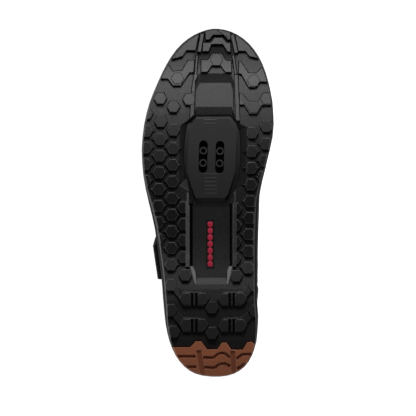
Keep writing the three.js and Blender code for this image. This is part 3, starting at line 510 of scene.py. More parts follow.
class Shader:
    """A procedural material, built node by node."""

    def __init__(self, name):
        self.material = bpy.data.materials.new(name)
        self.material.use_nodes = True
        self.tree = self.material.node_tree
        self.tree.nodes.clear()
        self.foot = self.node("ShaderNodeAttribute", {"attribute_name": "foot"}, {}, "Vector")
        self.over = self.node("ShaderNodeAttribute", {"attribute_name": "over"}, {}, "Fac")
        self.x, self.y, self.z = (self.part(self.foot, axis) for axis in "XYZ")

    def node(self, kind, settings=None, sockets=None, output=0):
        made = self.tree.nodes.new(kind)
        for key, value in (settings or {}).items():
            setattr(made, key, value)
        for key, value in (sockets or {}).items():
            if isinstance(value, Wire):
                self.tree.links.new(value.socket, made.inputs[key])
            else:
                made.inputs[key].default_value = value
        return Wire(self, made.outputs[output])

    def part(self, vector, axis):
        return self.node("ShaderNodeSeparateXYZ", {}, {0: vector}, axis)

    def noise(self, scale, detail=3.0, roughness=0.5):
        sockets = {"Vector": self.foot, "Scale": scale, "Detail": detail, "Roughness": roughness}
        return self.node("ShaderNodeTexNoise", {}, sockets, 0)

    def cells(self, scale):
        sockets = {"Vector": self.foot, "Scale": scale, "Randomness": 1.0}
        return self.node("ShaderNodeTexVoronoi", {"feature": "F1"}, sockets, "Distance")

    def ramp(self, value, low, high, start=0.0, end=1.0):
        settings = {"interpolation_type": "SMOOTHSTEP", "clamp": True}
        return self.node("ShaderNodeMapRange", settings, {0: value, 1: low, 2: high, 3: start, 4: end})

    def band(self, value, centre, half, edge=0.2):
        """One within a distance of a centre, nought outside."""
        away = self.node("ShaderNodeMath", {"operation": "ABSOLUTE"}, {0: value - centre})
        return self.ramp(away, half + edge, half)

    def bands(self, value, centres, half):
        """One within a distance of any of some centres, nought outside."""
        return sum(self.band(value, centre, half) for centre in centres)

    def patch(self, name, edge=0.2):
        """One inside a rectangle of PATCHES, nought outside."""
        place = PATCHES[name]
        along = self.band(self.x, place["x"], place["long"], edge)
        return along * self.band(self.y, place["y"], place["wide"], edge)

    def along(self, name, start=0.0, end=1.0):
        """A finish that comes in along the sole, between two places of FADES."""
        return self.ramp(self.x, *FADES[name], start, end)

    def depth(self, name):
        """A finish that comes in between two heights of DEPTHS."""
        return self.ramp(self.over, *DEPTHS[name])

    def blend(self, factor, first, second):
        """Mixes two colours."""
        settings = {"data_type": "RGBA", "clamp_factor": True}
        return self.node("ShaderNodeMix", settings, {0: factor, 6: first, 7: second}, 2)

    def wave(self, value, size):
        """A sine of a length in millimetres, from nought to one."""
        angle = value * (2 * math.pi / size)
        return angle.math("SINE", angle) * 0.5 + 0.5

    def rounded_edges(self, radius):
        """The normal with its edges rounded by a radius in millimetres, and a mask of those edges."""
        soft = self.node("ShaderNodeBevel", {"samples": 6}, {"Radius": radius * MM})
        plain = self.node("ShaderNodeNewGeometry", {}, {}, "Normal")
        same = self.node("ShaderNodeVectorMath", {"operation": "DOT_PRODUCT"}, {0: soft, 1: plain}, "Value")
        return soft, self.ramp(same, 0.998, 0.9)

    def bump(self, height, distance, strength=1.0, normal=None):
        """A bump whose height of one stands for a distance in millimetres."""
        sockets = {"Height": height, "Distance": distance * MM, "Strength": strength}
        if normal:
            sockets["Normal"] = normal
        return self.node("ShaderNodeBump", {}, sockets)

    def finish(self, painted_shade=None, **values):
        """Ends the material; where the painted shade mask is one, the surface is a matte black painted
        shade.
        """
        sockets = {name.replace("_", " "): value for name, value in values.items()}
        surface = self.node("ShaderNodeBsdfPrincipled", {}, sockets)
        if painted_shade:
            # Painted shade: a black, nearly unreflecting surface mixed in where the painted shade mask is
            # one.
            matte = {"Base Color": grey(0.0015), "Roughness": 0.9, "Specular IOR Level": 0.05}
            shade_black = self.node("ShaderNodeBsdfPrincipled", {}, matte)
            surface = self.node("ShaderNodeMixShader", {}, {0: painted_shade, 1: surface, 2: shade_black})
        output = self.tree.nodes.new("ShaderNodeOutputMaterial")
        self.tree.links.new(surface.socket, output.inputs["Surface"])
        return self.material


BRIGHT_RED = (0.78, 0.028, 0.085, 1)
WORN_RED = (0.5, 0.03, 0.07, 1)
DARK_GUM = (0.44, 0.138, 0.06, 1)
LIGHT_GUM = (0.53, 0.174, 0.081, 1)
GUM_GROOVE_SHADE = (0.16, 0.05, 0.024, 1)
GUM_RIM_HIGHLIGHT = (0.8, 0.37, 0.23, 1)


def grey(level, warmth=0.0):
    return (level * (1 + warmth), level, level * (1 - warmth), 1)


# Rectangles of the sole seen from below, in millimetres: middle and half size along (x) and across (y)
PATCHES = {
    "ramp_face": {"x": 80, "long": 8, "y": 1.2, "wide": 13.2},
    "ramp_facet": {"x": 86, "long": 8, "y": 1.1, "wide": 20},
    "pocket_front": {"x": 252.4, "long": 3.9, "y": 4.4, "wide": 13},
    "outer_rail": {"x": 124.5, "long": 31.5, "y": -18.8, "wide": 1.9},
    "inner_rail": {"x": 124.5, "long": 31.5, "y": 20.4, "wide": 1.9},
    "rear_ticks": {"x": 162.8, "long": 9.6, "y": 0.25, "wide": 5.05},
    "front_ticks": {"x": 214.4, "long": 2.4, "y": 0.25, "wide": 5.05},
}
# Places along the sole between which a finish comes in, in millimetres from the heel
FADES = {
    "heel": (82, 70),
    "before_heel": (72, 92),
    "rim_highlight_heel_fade": (60, 95),
    "rear_half": (165, 140),
    "channel": (150, 146),
    "channel_wall": (156, 150),
    "channel_shade": (112, 98),
    "beside_plate": (142.5, 144),
    "plate_front": (160, 205),
    "rim_highlight_toe_fade": (245, 205),
    "toe_shade": (250, 272),
    "toe_bars": (257, 275),
}
# Heights over the tread plane between which a finish comes in, in millimetres
DEPTHS = {
    "web": (1.0, 3.2),
    "wall": (4.15, 4.6),
    "lug_top": (2.5, 1.2),
    "rail_top": (0.9, 0.5),
    "rail_side": (0.8, 1.3),
    "pocket_front": (1.0, 1.6),
    "gum_groove": (0.5, 1.7),
    "plate_side": (6.5, 7.0),
    "over_plate_side": (8.0, 7.6),
    "channel_floor": (8.2, 7.6),
    "midsole_side": (8.2, 9.2),
}
# The inner half of the sole, across
INNER_HALF = (-5, 5)
# Twin grooves in the heel lugs, painted black as shade: middles along and across, half sizes, and the lug
# faces that carry them
HEEL_GROOVES = {
    "along": (65.8, 43.8), "long": 5.4, "across": (-15.0, -11.3, 19.9, 16.5), "wide": 0.8,
    "faces": (-13.1, 18.2), "face_wide": 2.6,
}
FIRST_TICK = 154.6


def tread_tone(shader, web, coarse, rim):
    """Tones of the tread: dark lugs, a gritty web, the channel's walls, rails with a painted highlight, ramp
    facets painted pale as a highlight, and lug rims painted lighter as a highlight.
    """
    tone = shader.blend(shader.noise(0.06, 3), grey(0.0065), grey(0.0095))
    tone = shader.blend(shader.along("heel"), tone, grey(0.019))
    rear = shader.along("rear_half") * shader.along("before_heel")
    dark_web = shader.blend(rear, grey(0.0085), grey(0.014))
    light_web = shader.blend(rear, grey(0.024), grey(0.05))
    tone = shader.blend(web, tone, shader.blend(shader.ramp(coarse, 0.42, 0.72), dark_web, light_web))
    wall = shader.depth("wall")
    channel_wall = wall * shader.along("channel_wall") * shader.band(shader.y, 1.1, 22)
    tone = shader.blend(channel_wall, tone, grey(0.028))
    # Painted highlight: the rails' tops are painted light grey, paler on the outer rail than on the inner
    # one.
    rail_top = (shader.patch("outer_rail") + shader.patch("inner_rail")) * shader.depth("rail_top")
    rail_highlight = shader.blend(shader.ramp(shader.y, *INNER_HALF), grey(0.1), grey(0.04))
    tone = shader.blend(rail_top, tone, rail_highlight)
    # Painted highlight: the ramp's side facets are painted pale grey.
    facet = wall * shader.patch("ramp_facet") * (1 - shader.patch("ramp_face"))
    tone = shader.blend(facet, tone, grey(0.3))
    lugs = shader.bands(shader.x, HEEL_GROOVES["along"], HEEL_GROOVES["long"])
    grooved = lugs * shader.bands(shader.y, HEEL_GROOVES["faces"], HEEL_GROOVES["face_wide"])
    # Painted highlight: the rims of the lug tops are painted lighter grey, less towards the toe and the heel
    # and not on the grooved heel faces.
    painted_highlight = rim * shader.along("rim_highlight_toe_fade", 0.1, 1.0) * shader.depth("lug_top") * (1 - grooved)
    return shader.blend(painted_highlight * shader.along("rim_highlight_heel_fade", 0.3, 1.0), tone, grey(0.22))


def tread_shade(shader, web):
    """Painted shade: one in the narrow cuts of the tread, less on the walls of its window and on the toe."""
    rail_side = shader.band(shader.x, 120, 26, 1) * shader.depth("rail_side")
    rail_side = rail_side * (shader.band(shader.y, -15.8, 1.9) + shader.band(shader.y, 17.2, 1.2))
    window_wall = shader.depth("wall") * shader.band(shader.x, 187, 29)
    pocket_front = shader.patch("pocket_front") * shader.depth("pocket_front")
    grooves = shader.bands(shader.x, HEEL_GROOVES["along"], HEEL_GROOVES["long"])
    grooves = grooves * shader.bands(shader.y, HEEL_GROOVES["across"], HEEL_GROOVES["wide"])
    toe_gap = shader.along("toe_bars") * shader.band(shader.y, 4.4, 13, 9)
    return (window_wall * 0.35 + pocket_front * 0.6 + grooves + rail_side
            + toe_gap * web * 0.6 + shader.along("toe_shade", 0.0, 0.22))


def tread_rubber():
    """Black rubber: smooth lug faces, a coarse grain on the web between them, edges painted lighter as a
    highlight, and painted shade in its cuts.
    """
    shader = Shader("tread_rubber")
    web = shader.depth("web")
    grain = shader.noise(1.6, 4)
    coarse = shader.noise(0.75, 3, 0.65)
    soft, rim = shader.rounded_edges(0.65)
    height = grain * (0.4 + web * 0.6) + coarse * web * 1.6 + shader.noise(0.35, 2) * 0.4
    return shader.finish(
        Base_Color=tread_tone(shader, web, coarse, rim),
        Roughness=shader.ramp(grain, 0.2, 0.8, 0.4, 0.48) + web * 0.04,
        Normal=shader.bump(height, 0.16, 0.5, soft),
        # Painted shade: the tread turns matte black where tread_shade is one.
        painted_shade=tread_shade(shader, web),
    )


def painted_highlight_rubber():
    """Black rubber painted grey as a highlight, paler on the outer half than the inner, on ribs and corners
    that stand out.
    """
    shader = Shader("painted_highlight_rubber")
    grain = shader.noise(1.4, 4)
    return shader.finish(
        Base_Color=shader.blend(
            shader.ramp(shader.y, *INNER_HALF),
            shader.blend(shader.ramp(grain, 0.3, 0.7), grey(0.07), grey(0.12)),
            shader.blend(shader.ramp(grain, 0.3, 0.7), grey(0.03), grey(0.05)),
        ),
        Roughness=shader.ramp(grain, 0.2, 0.8, 0.42, 0.55),
        Normal=shader.bump(grain, 0.12, 0.5),
    )


def red_print():
    """Red rubber inlay with a little wear."""
    shader = Shader("red_print")
    grain = shader.noise(1.6, 4)
    return shader.finish(
        Base_Color=shader.blend(shader.ramp(grain, 0.35, 0.75), BRIGHT_RED, WORN_RED),
        Roughness=shader.ramp(grain, 0.2, 0.8, 0.42, 0.6),
        Normal=shader.bump(grain, 0.08, 0.5),
    )


def gum_rubber():
    """Gum rubber with painted shade in its grooves and painted highlights on its edges."""
    shader = Shader("gum_rubber")
    grain = shader.noise(1.4, 4)
    soft, rim = shader.rounded_edges(0.6)
    tone = shader.blend(shader.noise(0.08, 3), DARK_GUM, LIGHT_GUM)
    # Painted shade: the grooves are painted darker.
    tone = shader.blend(shader.depth("gum_groove") * 0.55, tone, GUM_GROOVE_SHADE)
    # Painted highlight: the edges are painted pale.
    tone = shader.blend(rim * 0.6, tone, GUM_RIM_HIGHLIGHT)
    return shader.finish(
        Base_Color=tone,
        Roughness=shader.ramp(grain, 0.2, 0.8, 0.5, 0.64),
        Normal=shader.bump(grain, 0.1, 0.5, soft),
    )


def sole_shell():
    """Midsole and cleat plate: satin where it is moulded plain, pebbled on the floor of the channel, with
    painted highlights on its edges and painted shade beside the plate, at the floor's outer edge and rear
    end, and on the midsole's sides.
    """
    shader = Shader("sole_shell")
    pebble = shader.cells(0.8)
    grain = shader.noise(0.9, 4)
    coarse = shader.noise(0.7, 3, 0.65)
    floor = shader.along("channel") * shader.depth("channel_floor")
    side = shader.depth("midsole_side")
    soft, rim = shader.rounded_edges(0.4)
    ticks = shader.ramp(shader.wave(shader.x - FIRST_TICK + TICK_PITCH / 4, TICK_PITCH), 0.55, 0.75)
    ticks = ticks * (shader.patch("rear_ticks", 0.4) + shader.patch("front_ticks", 0.4) * 0.5)
    tone = shader.blend(shader.along("plate_front"), grey(0.015), grey(0.029))
    tone = shader.blend(floor * shader.ramp(coarse, 0.48, 0.68), tone, grey(0.03, 0.03))
    tone = shader.blend(ticks * 0.5, tone, grey(0.035))
    # Painted highlight: edges are painted lighter grey.
    tone = shader.blend(rim, tone, grey(0.07))
    beside = shader.along("beside_plate") * shader.depth("plate_side") * shader.depth("over_plate_side")
    floor_shade = shader.ramp(shader.y, -14.2, -15) + shader.along("channel_shade", 0.0, 0.2)
    height = grain * (0.3 + floor * 0.7) + (pebble + coarse * 2) * floor + ticks * 2.5
    return shader.finish(
        Base_Color=tone,
        Roughness=shader.ramp(grain, 0.2, 0.8, 0.38, 0.48) + floor * 0.1 + side * 0.25,
        Normal=shader.bump(height, 0.14, 0.6, soft),
        # Painted shade: matte black beside the plate, on the channel floor's outer edge and rear end, and on
        # the midsole's sides.
        painted_shade=beside * 0.3 + floor * floor_shade + side * 0.6,
    )


def nut_steel():
    """Blackened steel, rubbed bright on the rims of the bosses."""
    shader = Shader("nut_steel")
    brushed = shader.noise(3.0, 3)
    depth = shader.z - (CLEAT_SEAT.z + (shader.x - CLEAT_SEAT.x) * math.tan(CLEAT_TILT))
    rim = shader.ramp(depth, 1.1, 0.75)
    return shader.finish(
        Base_Color=shader.blend(rim, grey(0.006), grey(0.16)),
        Metallic=1.0,
        Roughness=shader.ramp(brushed, 0.2, 0.8, 0.25, 0.4),
        Normal=shader.bump(brushed, 0.03, 0.5),
    )


WOVEN_PITCH = 1.9


def upper_leather():
    """Synthetic leather, with woven side panels where the attribute woven is one."""
    shader = Shader("upper_leather")
    woven = shader.node("ShaderNodeAttribute", {"attribute_name": "woven"}, {}, "Fac")
    grain = shader.cells(1.3)
    fine = shader.noise(2.5, 3)
    wear = shader.noise(0.05, 4)
    net = shader.wave(shader.x + shader.z, WOVEN_PITCH) * shader.wave(shader.x - shader.z, WOVEN_PITCH)
    holes = shader.ramp(net, 0.1, 0.5) * woven
    tone = shader.blend(wear, grey(0.016), grey(0.026))
    tone = shader.blend(woven, tone, grey(0.03))
    tone = shader.blend(holes, tone, grey(0.004))
    skin_height = (grain * 0.8 + fine * 0.4) * (1 - woven)
    return shader.finish(
        Base_Color=tone,
        Roughness=shader.ramp(fine, 0.2, 0.8, 0.42, 0.58) + woven * 0.3,
        Normal=shader.bump(skin_height - holes * 2.5, 0.14, 0.7),
    )


def coated_leather():
    """Tougher coated leather of toe cap and heel counter."""
    shader = Shader("cap_leather")
    pebble = shader.cells(0.8)
    fine = shader.noise(2.5, 3)
    return shader.finish(
        Base_Color=shader.blend(shader.noise(0.06, 3), grey(0.011), grey(0.018)),
        Roughness=shader.ramp(fine, 0.2, 0.8, 0.34, 0.48),
        Normal=shader.bump(pebble + fine * 0.4, 0.14, 0.6),
    )


def soft_thread():
    """Dull twisted thread."""
    shader = Shader("thread")
    twist = shader.wave(shader.x + shader.z, 0.5)
    return shader.finish(
        Base_Color=shader.blend(twist, grey(0.02), grey(0.05)),
        Roughness=0.7,
        Normal=shader.bump(twist, 0.08, 0.6),
    )


def plain_cloth(name, dark, light, size):
    """A woven cloth with threads of a given size in millimetres."""
    shader = Shader(name)
    height = shader.wave(shader.x, size) * shader.wave(shader.y + shader.z, size)
    return shader.finish(
        Base_Color=shader.blend(height, dark, light),
        Roughness=0.85,
        Normal=shader.bump(height, 0.3, 0.7),
    )


rubber = tread_rubber()
gum = gum_rubber()
shell = sole_shell()
steel = nut_steel()
leather = upper_leather()
cap_leather = coated_leather()
thread = soft_thread()
painted_highlight = painted_highlight_rubber()
red = red_print()
under_red = plain_cloth("mark_border", grey(0.003), grey(0.005), 0.9)
lining = plain_cloth("collar_lining", grey(0.012), grey(0.04), 1.3)
cloth = plain_cloth("insole_cloth", grey(0.03), grey(0.07), 0.9)
tongue_cloth = plain_cloth("tongue_cloth", grey(0.015), grey(0.035), 1.1)
webbing = plain_cloth("strap_webbing", grey(0.004), grey(0.014), 0.9)

# Sole


def named_slot(obj):
    """Returns a piece as it is."""
    return obj


named_slot(polished_copy("outsole", "tread", rubber, 0.45, facet=8))
named_slot(polished_copy("heel_insert", "gum_heel", gum, 0.4))
named_slot(polished_copy("midsole", "sole_body", shell, 0.3))
named_slot(polished_copy("cleat_nut", "nut_plate", steel, 0.25, "nut", segments=3))
named_slot(polished_copy("insole", "footbed", cloth, 0.8))

# Hexagonal lugs stand in columns: shares across and along of the first one, drift across, how many
LUG_COLUMNS = (
    {"across": -0.488, "along": 0.7032, "drift": -0.004, "count": 5},
    {"across": -0.3822, "along": 0.6797, "drift": -0.0037, "count": 7},
    {"across": -0.2845, "along": 0.6541, "drift": -0.0019, "count": 8},
    {"across": 0.3191, "along": 0.6453, "drift": -0.0042, "count": 8},
    {"across": 0.4268, "along": 0.6668, "drift": -0.009, "count": 3},
)
LUG_PITCH = 14
LUG_RADIUS = 5.95
# Wedges at the lugs' corners: first height, reach past the lug, radii of tip and foot, narrowness
CORNER = {"rise": 0.9, "past": 0.4, "tip": 0.3, "foot": 2.3, "narrow": 0.55, "overlap": 0.1}
CORNER_MARGIN = 0.04
RAILS = (
    {"across": -0.1705, "front": 0.49, "back": 0.316, "inward": 1},
    {"across": 0.1855, "front": 0.49, "back": 0.316, "inward": -1},
)
# Section of a rail: distance towards the channel from its middle, height over the tread plane
RAIL_SECTION = ((-1.7, 1.4), (-1.7, 0.1), (-1.4, -0.2), (0.3, -0.2), (1.6, 0.9), (1.6, 1.4))
# Plain hexagons in the channel's floor, and the dark strip under them
MARKS = {
    "first": 95.2, "pitch": 5.65, "count": 7, "across": 0.15, "length": 6.1, "width": 5.0,
    "turn": math.pi / 2, "sunk": 0.3, "proud": 0.6,
}
MARK_BED = {"longer": 1.6, "wider": 1.8, "lift": 0.15, "thickness": 0.4}


def on_tread(x, y, over):
    """A place on the standing sole, a height over the tread plane."""
    return Vector((x, y, tread_height(x) + over))


def finished(work, name, material):
    """Turns operators' work, in standing millimetres, into a piece that rides on the shoe."""
    bmesh.ops.recalc_face_normals(work, faces=work.faces)
    bmesh.ops.transform(work, matrix=ROW, verts=work.verts)
    smooth_faces(work)
    for edge in work.edges:
        edge.smooth = edge.calc_face_angle(0) < math.radians(CREASE_ANGLE)
    return named_slot(place_object(name, made_mesh(work, name), material))


def inside_outline(x, y):
    """True where a place on the tread lies well inside the outline of the sole."""
    along = x / SHOE_LENGTH
    lowest = outline["lateral"](along) + CORNER_MARGIN
    return lowest < y / BALL_WIDTH < outline["medial"](along) - CORNER_MARGIN


def lug_corners():
    """Small wedges that tie the corners of the hexagonal lugs to the web."""
    work = bmesh.new()
    deepest = LUG_HEIGHT + CORNER["past"]
    for row in LUG_COLUMNS:
        for i in range(row["count"]):
            x = row["along"] * SHOE_LENGTH - LUG_PITCH * i
            y = (row["across"] + row["drift"] * i) * BALL_WIDTH
            for side in (1, -1):
                reach = side * (LUG_RADIUS - CORNER["overlap"])
                middle = on_tread(x, y + reach, (CORNER["rise"] + deepest) / 2)
                if inside_outline(x, middle.y):
                    bmesh.ops.create_cone(
                        work, cap_ends=True, segments=4, radius1=CORNER["tip"], radius2=CORNER["foot"],
                        depth=deepest - CORNER["rise"],
                        matrix=Matrix.Translation(middle) @ Matrix.Diagonal((CORNER["narrow"], 1, 1, 1)),
                    )
    return finished(work, "lug_corners", rubber)


def channel_rails():
    """Rails on both edges of the rear channel, flat on top and slanted towards it."""
    work = bmesh.new()
    for rail in RAILS:
        loops = []
        for i in range(9):
            x = lerp(rail["front"], rail["back"], i / 8) * SHOE_LENGTH
            corners = []
            for aside, over in RAIL_SECTION:
                y = rail["across"] * BALL_WIDTH + aside * rail["inward"]
                corners.append(work.verts.new(on_tread(x, y, over)))
            loops.append([work.edges.new((a, b)) for a, b in zip(corners, corners[1:] + corners[:1])])
        for first, second in zip(loops, loops[1:]):
            bmesh.ops.bridge_loops(work, edges=first + second)
        bmesh.ops.edgeloop_fill(work, edges=loops[0])
        bmesh.ops.edgeloop_fill(work, edges=loops[-1])
    return finished(work, "channel_rails", painted_highlight)


def mark_bed():
    """A dark strip that follows the floor of the channel under the marks."""
    work = bmesh.new()
    length = MARKS["pitch"] * MARKS["count"] + MARK_BED["longer"]
    middle = MARKS["first"] + MARKS["pitch"] * (MARKS["count"] - 1) / 2
    size = Matrix.Diagonal((length, MARKS["width"] + MARK_BED["wider"], 1, 1))
    place = Matrix.Translation((middle, MARKS["across"], 0)) @ size
    bmesh.ops.create_grid(work, x_segments=24, y_segments=4, size=0.5, matrix=place)
    for corner in work.verts:
        corner.co.z = midsole_bottom(corner.co.x) + MARK_BED["lift"]
    bmesh.ops.solidify(work, geom=work.faces[:], thickness=MARK_BED["thickness"])
    return finished(work, "mark_border", under_red)


def channel_marks():
    """A row of plain hexagons laid in the floor of the channel."""
    work = bmesh.new()
    size = Matrix.Diagonal((MARKS["length"] / 2, MARKS["width"] / 2, 1, 1))
    size = size @ Matrix.Rotation(MARKS["turn"], 4, "Z")
    for i in range(MARKS["count"]):
        x = MARKS["first"] + MARKS["pitch"] * i
        middle = midsole_bottom(x) - (MARKS["proud"] - MARKS["sunk"]) / 2
        made = bmesh.ops.create_cone(
            work, cap_ends=True, segments=6, radius1=1, radius2=1, depth=MARKS["proud"] + MARKS["sunk"],
            matrix=Matrix.Translation((x, MARKS["across"], middle)) @ size,
        )
        around = {edge for corner in made["verts"] for edge in corner.link_edges}
        top = [edge for edge in around if all(corner.co.z < middle for corner in edge.verts)]
        bmesh.ops.bevel(
            work, geom=top, offset=0.2, offset_type="OFFSET", affect="EDGES",
            segments=2, profile=0.5, material=-1,
        )
    return finished(work, "red_marks", red)


lug_corners()
channel_rails()
mark_bed()
channel_marks()

# Upper

ROUND_STEPS = 400
RISE_STEPS = 48
RIM_STEPS = 6
LINING_STEPS = 22
COLLAR_PADDING = 4.6
QUILT_DEPTH = 0.5


def pad_thickness(turn, rise):
    """Thickness of the wall: padded round the collar, thin elsewhere."""
    padding = collar_share(turn) * smooth(rise, 0.5, 0.82) * (1 - 0.25 * smooth(rise, 0.92, 1))
    return UPPER_WALL + COLLAR_PADDING * padding


def wall_section(turn):
    """One closed section of the wall: up the outside, over the rim, down the lining."""
    section = [face(turn, i / RISE_STEPS) for i in range(RISE_STEPS + 1)]
    top = face(turn, 1)
    inside = face(turn, 1, -pad_thickness(turn, 1))
    middle = top.lerp(inside, 0.5)
    climb = (top - face(turn, 0.97)).normalized()
    half = (top - inside).length / 2
    for i in range(1, RIM_STEPS):
        angle = math.pi * i / RIM_STEPS
        section.append(middle + (top - middle) * math.cos(angle) + climb * (half * 0.8 * math.sin(angle)))
    for i in range(LINING_STEPS + 1):
        rise = 1 - i / LINING_STEPS
        quilt = QUILT_DEPTH * collar_share(turn) * smooth(rise, 0.55, 0.7) * math.sin(rise * 70) ** 2
        section.append(face(turn, rise, -pad_thickness(turn, rise) - quilt))
    return section


def upper_shell():
    """The hollow upper, with its lining and the mask of its woven panels."""
    sections = [wall_section(2 * i / ROUND_STEPS) for i in range(ROUND_STEPS)]
    columns = len(sections[0])
    points = [point for section in sections for point in section]
    faces = grid_faces(ROUND_STEPS, columns, closed=True)
    obj = new_object("upper_shell", points, faces, leather)
    obj.data.materials.append(lining)
    for polygon, loop in zip(obj.data.polygons, faces):
        polygon.material_index = 1 if min(i % columns for i in loop) >= RISE_STEPS else 0
    woven = []
    for i in range(ROUND_STEPS):
        outside = [mesh_window(2 * i / ROUND_STEPS, j / RISE_STEPS) for j in range(RISE_STEPS + 1)]
        woven += outside + [0.0] * (columns - len(outside))
    mask = obj.data.attributes.new("woven", "FLOAT", "POINT")
    mask.data.foreach_set("value", woven)
    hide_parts("upper")
    return named_slot(obj)


def rounded(share, edge):
    """Rises from nought to one over an edge, as a quarter circle."""
    left = 1 - clamp(share / edge)
    return math.sqrt(max(0.0, 1 - left * left))


def edge_places(count, edge):
    """Places from 0 to 1 that crowd at both ends."""
    inner = [edge * (1 - math.cos(math.pi * i / 6)) for i in range(4)]
    middle = [edge + (1 - 2 * edge) * i / count for i in range(1, count)]
    return inner[:-1] + [edge] + middle + [1 - edge] + [1 - value for value in reversed(inner[:-1])]


OVERLAY_SIDE = 0.02
OVERLAY_RIM = 0.05
OVERLAY_SINK = 0.3
OVERLAY_BACK = 0.9


def overlay_height(cut, share):
    """How high an overlay reaches at a share of its way round the shoe."""
    return lerp(cut["ends"], cut["middle"], math.sin(math.pi * share) ** cut["fullness"])


def overlay(name, node, cut):
    """A panel glued on the upper, with rounded edges sunk into it."""
    thickness = OVERLAY_THICKNESS + SEAT + OVERLAY_SINK
    outer, inner = [], []
    for share in edge_places(64, OVERLAY_SIDE):
        turn = lerp(cut["first"], cut["final"], share)
        side = rounded(min(share, 1 - share), OVERLAY_SIDE)
        outer_row, inner_row = [], []
        for climb in edge_places(14, OVERLAY_RIM):
            rise = lerp(0.01, overlay_height(cut, share), climb)
            lift = side * rounded(min(climb, 1 - climb), OVERLAY_RIM)
            outer_row.append(face(turn, rise, -OVERLAY_SINK + thickness * lift))
            inner_row.append(face(turn, rise, -OVERLAY_BACK))
        outer.append(outer_row)
        inner.append(inner_row)
    obj = panel(name, outer, inner, cap_leather)
    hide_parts(node)
    return named_slot(obj)


def band_point(x, ends, walk, distance):
    """A point of a band over the foot.

    walk runs from 0 low on the inner side, by 1 and 2 at the throat's edges, to 3 low on the outer side.
    """
    if walk <= 1:
        rise = lerp(ends["medial"], 1, walk)
        return skin(turn_at(x, rise, 1), rise, distance)
    if walk >= 2:
        share = 3 - walk
        rise = lerp(ends["lateral"], 1, share)
        back = ends["set_back"] * (1 - share ** 2)
        return skin(turn_at(x - back, rise, -1), rise, distance)
    share = walk - 1
    point = band_point(x, ends, 1, distance).lerp(band_point(x, ends, 2, distance), share)
    point.z += ends["crown"] * 4 * share * (1 - share)
    return point


def strap_lift(ends, walk):
    """How far a strap's free end stands off the upper."""
    return ends["stand_off"] * smooth(walk, 2.2, 2.75)


def strap(name, node, ends):
    """A strap with rounded edges, its free end round and lying on the outer side."""
    across = edge_places(10, 0.035)
    walks = [i / 14 for i in range(14)] + [1 + i / 14 for i in range(14)] + [2 + i / 22 for i in range(23)]
    centre = ends["along"] * SHOE_LENGTH
    outer, inner = [], []
    for share in across:
        x = centre + ends["width"] * (share - 0.5)
        bow = ends["tip"] * (1 - math.sqrt(max(0.0, 1 - (2 * share - 1) ** 2 * 0.98)))
        side = rounded(min(share, 1 - share), 0.035)
        outer_row, inner_row = [], []
        for walk in walks:
            bent = walk if walk <= 2 else 2 + (walk - 2) * (1 - bow)
            end = rounded(min(walk, 3 - walk), 0.06)
            thickness = STRAP_THICKNESS * side * end
            off = strap_lift(ends, walk)
            outer_row.append(band_point(x, ends, bent, SEAT - 0.2 + thickness + off))
            inner_row.append(band_point(x, ends, bent, off * 0.8 - 0.4))
        outer.append(outer_row)
        inner.append(inner_row)
    obj = panel(name, outer, inner, webbing)
    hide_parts(node)
    return named_slot(obj)


def tongue_point(length, across, distance):
    """A point of the tongue: length runs from 0 at its root by 1 at the collar to its free edge."""
    start, finish = TONGUE_ROOT * SHOE_LENGTH, 0.4 * SHOE_LENGTH
    x = lerp(start, finish, min(length, 1))
    past = max(0.0, length - 1) / (TONGUE_FREE - 1)
    bent = smooth(past, 0, 0.4)
    middle = -(UPPER_WALL + SEAT + TONGUE_THICKNESS / 2)
    point = band_point(x, TONGUE_ENDS, across, lerp(distance, middle, bent))
    point += TONGUE_FRONT * ((distance - middle) * bent)
    point.x -= TONGUE_FLAP * 0.45 * past
    point.z += TONGUE_FLAP * past
    return point


def tongue():
    """The padded tongue, with soft ribs along it."""
    lengths = [TONGUE_FREE * value for value in edge_places(34, 0.04)]
    walks = [lerp(0.02, 2.98, value) for value in edge_places(30, 0.03)]
    top = -(UPPER_WALL + SEAT)
    outer, inner = [], []
    for length in lengths:
        end = rounded(min(length, TONGUE_FREE - length), 0.06)
        puff = TONGUE_PADDING * smooth(length, 0.85, 1.12) * end
        outer_row, inner_row = [], []
        for walk in walks:
            side = rounded(min(walk, 3 - walk), 0.1)
            rib = 0.6 * abs(math.sin(walk * math.pi * 2)) ** 0.5 * smooth(length, 0.1, 0.3)
            crown = puff * side * (0.7 + 0.3 * math.sin(math.pi * walk / 3))
            front = top - 1.4 + (1.2 + rib) * end * side + crown * 0.3
            back = top - 1.8 - (TONGUE_THICKNESS - 1.6) * end * side - crown
            outer_row.append(tongue_point(length, walk, front))
            inner_row.append(tongue_point(length, walk, back))
        outer.append(outer_row)
        inner.append(inner_row)
    obj = panel("tongue_pad", outer, inner, tongue_cloth)
    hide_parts("tongue")
    return named_slot(obj)


STITCH = {"length": 2.6, "gap": 1.0, "radius": 0.24, "lift": 0.08, "inset": 0.03}


def stitch_places(pairs):
    """Matrices of short threads, one after another along a line of places and outward directions."""
    run = [0.0]
    for (a, _), (b, _) in zip(pairs, pairs[1:]):
        run.append(run[-1] + (b - a).length)

    def at(distance):
        i = 0
        while i < len(run) - 2 and run[i + 1] < distance:
            i += 1
        share = (distance - run[i]) / max(1e-6, run[i + 1] - run[i])
        return pairs[i][0].lerp(pairs[i + 1][0], share), pairs[i][1].lerp(pairs[i + 1][1], share)

    places = []
    length = STITCH["length"]
    place = STITCH["gap"]
    size = Matrix.Diagonal((length / 2, STITCH["radius"] * 1.2, STITCH["radius"], 1))
    while place + length < run[-1]:
        start, finish = at(place)[0], at(place + length)[0]
        centre, outward = at(place + length / 2)
        turn = axes(finish - start, outward.cross(finish - start))
        places.append(Matrix.Translation(centre + outward * STITCH["lift"]) @ turn.to_4x4() @ size)
        place += length + STITCH["gap"]
    return places


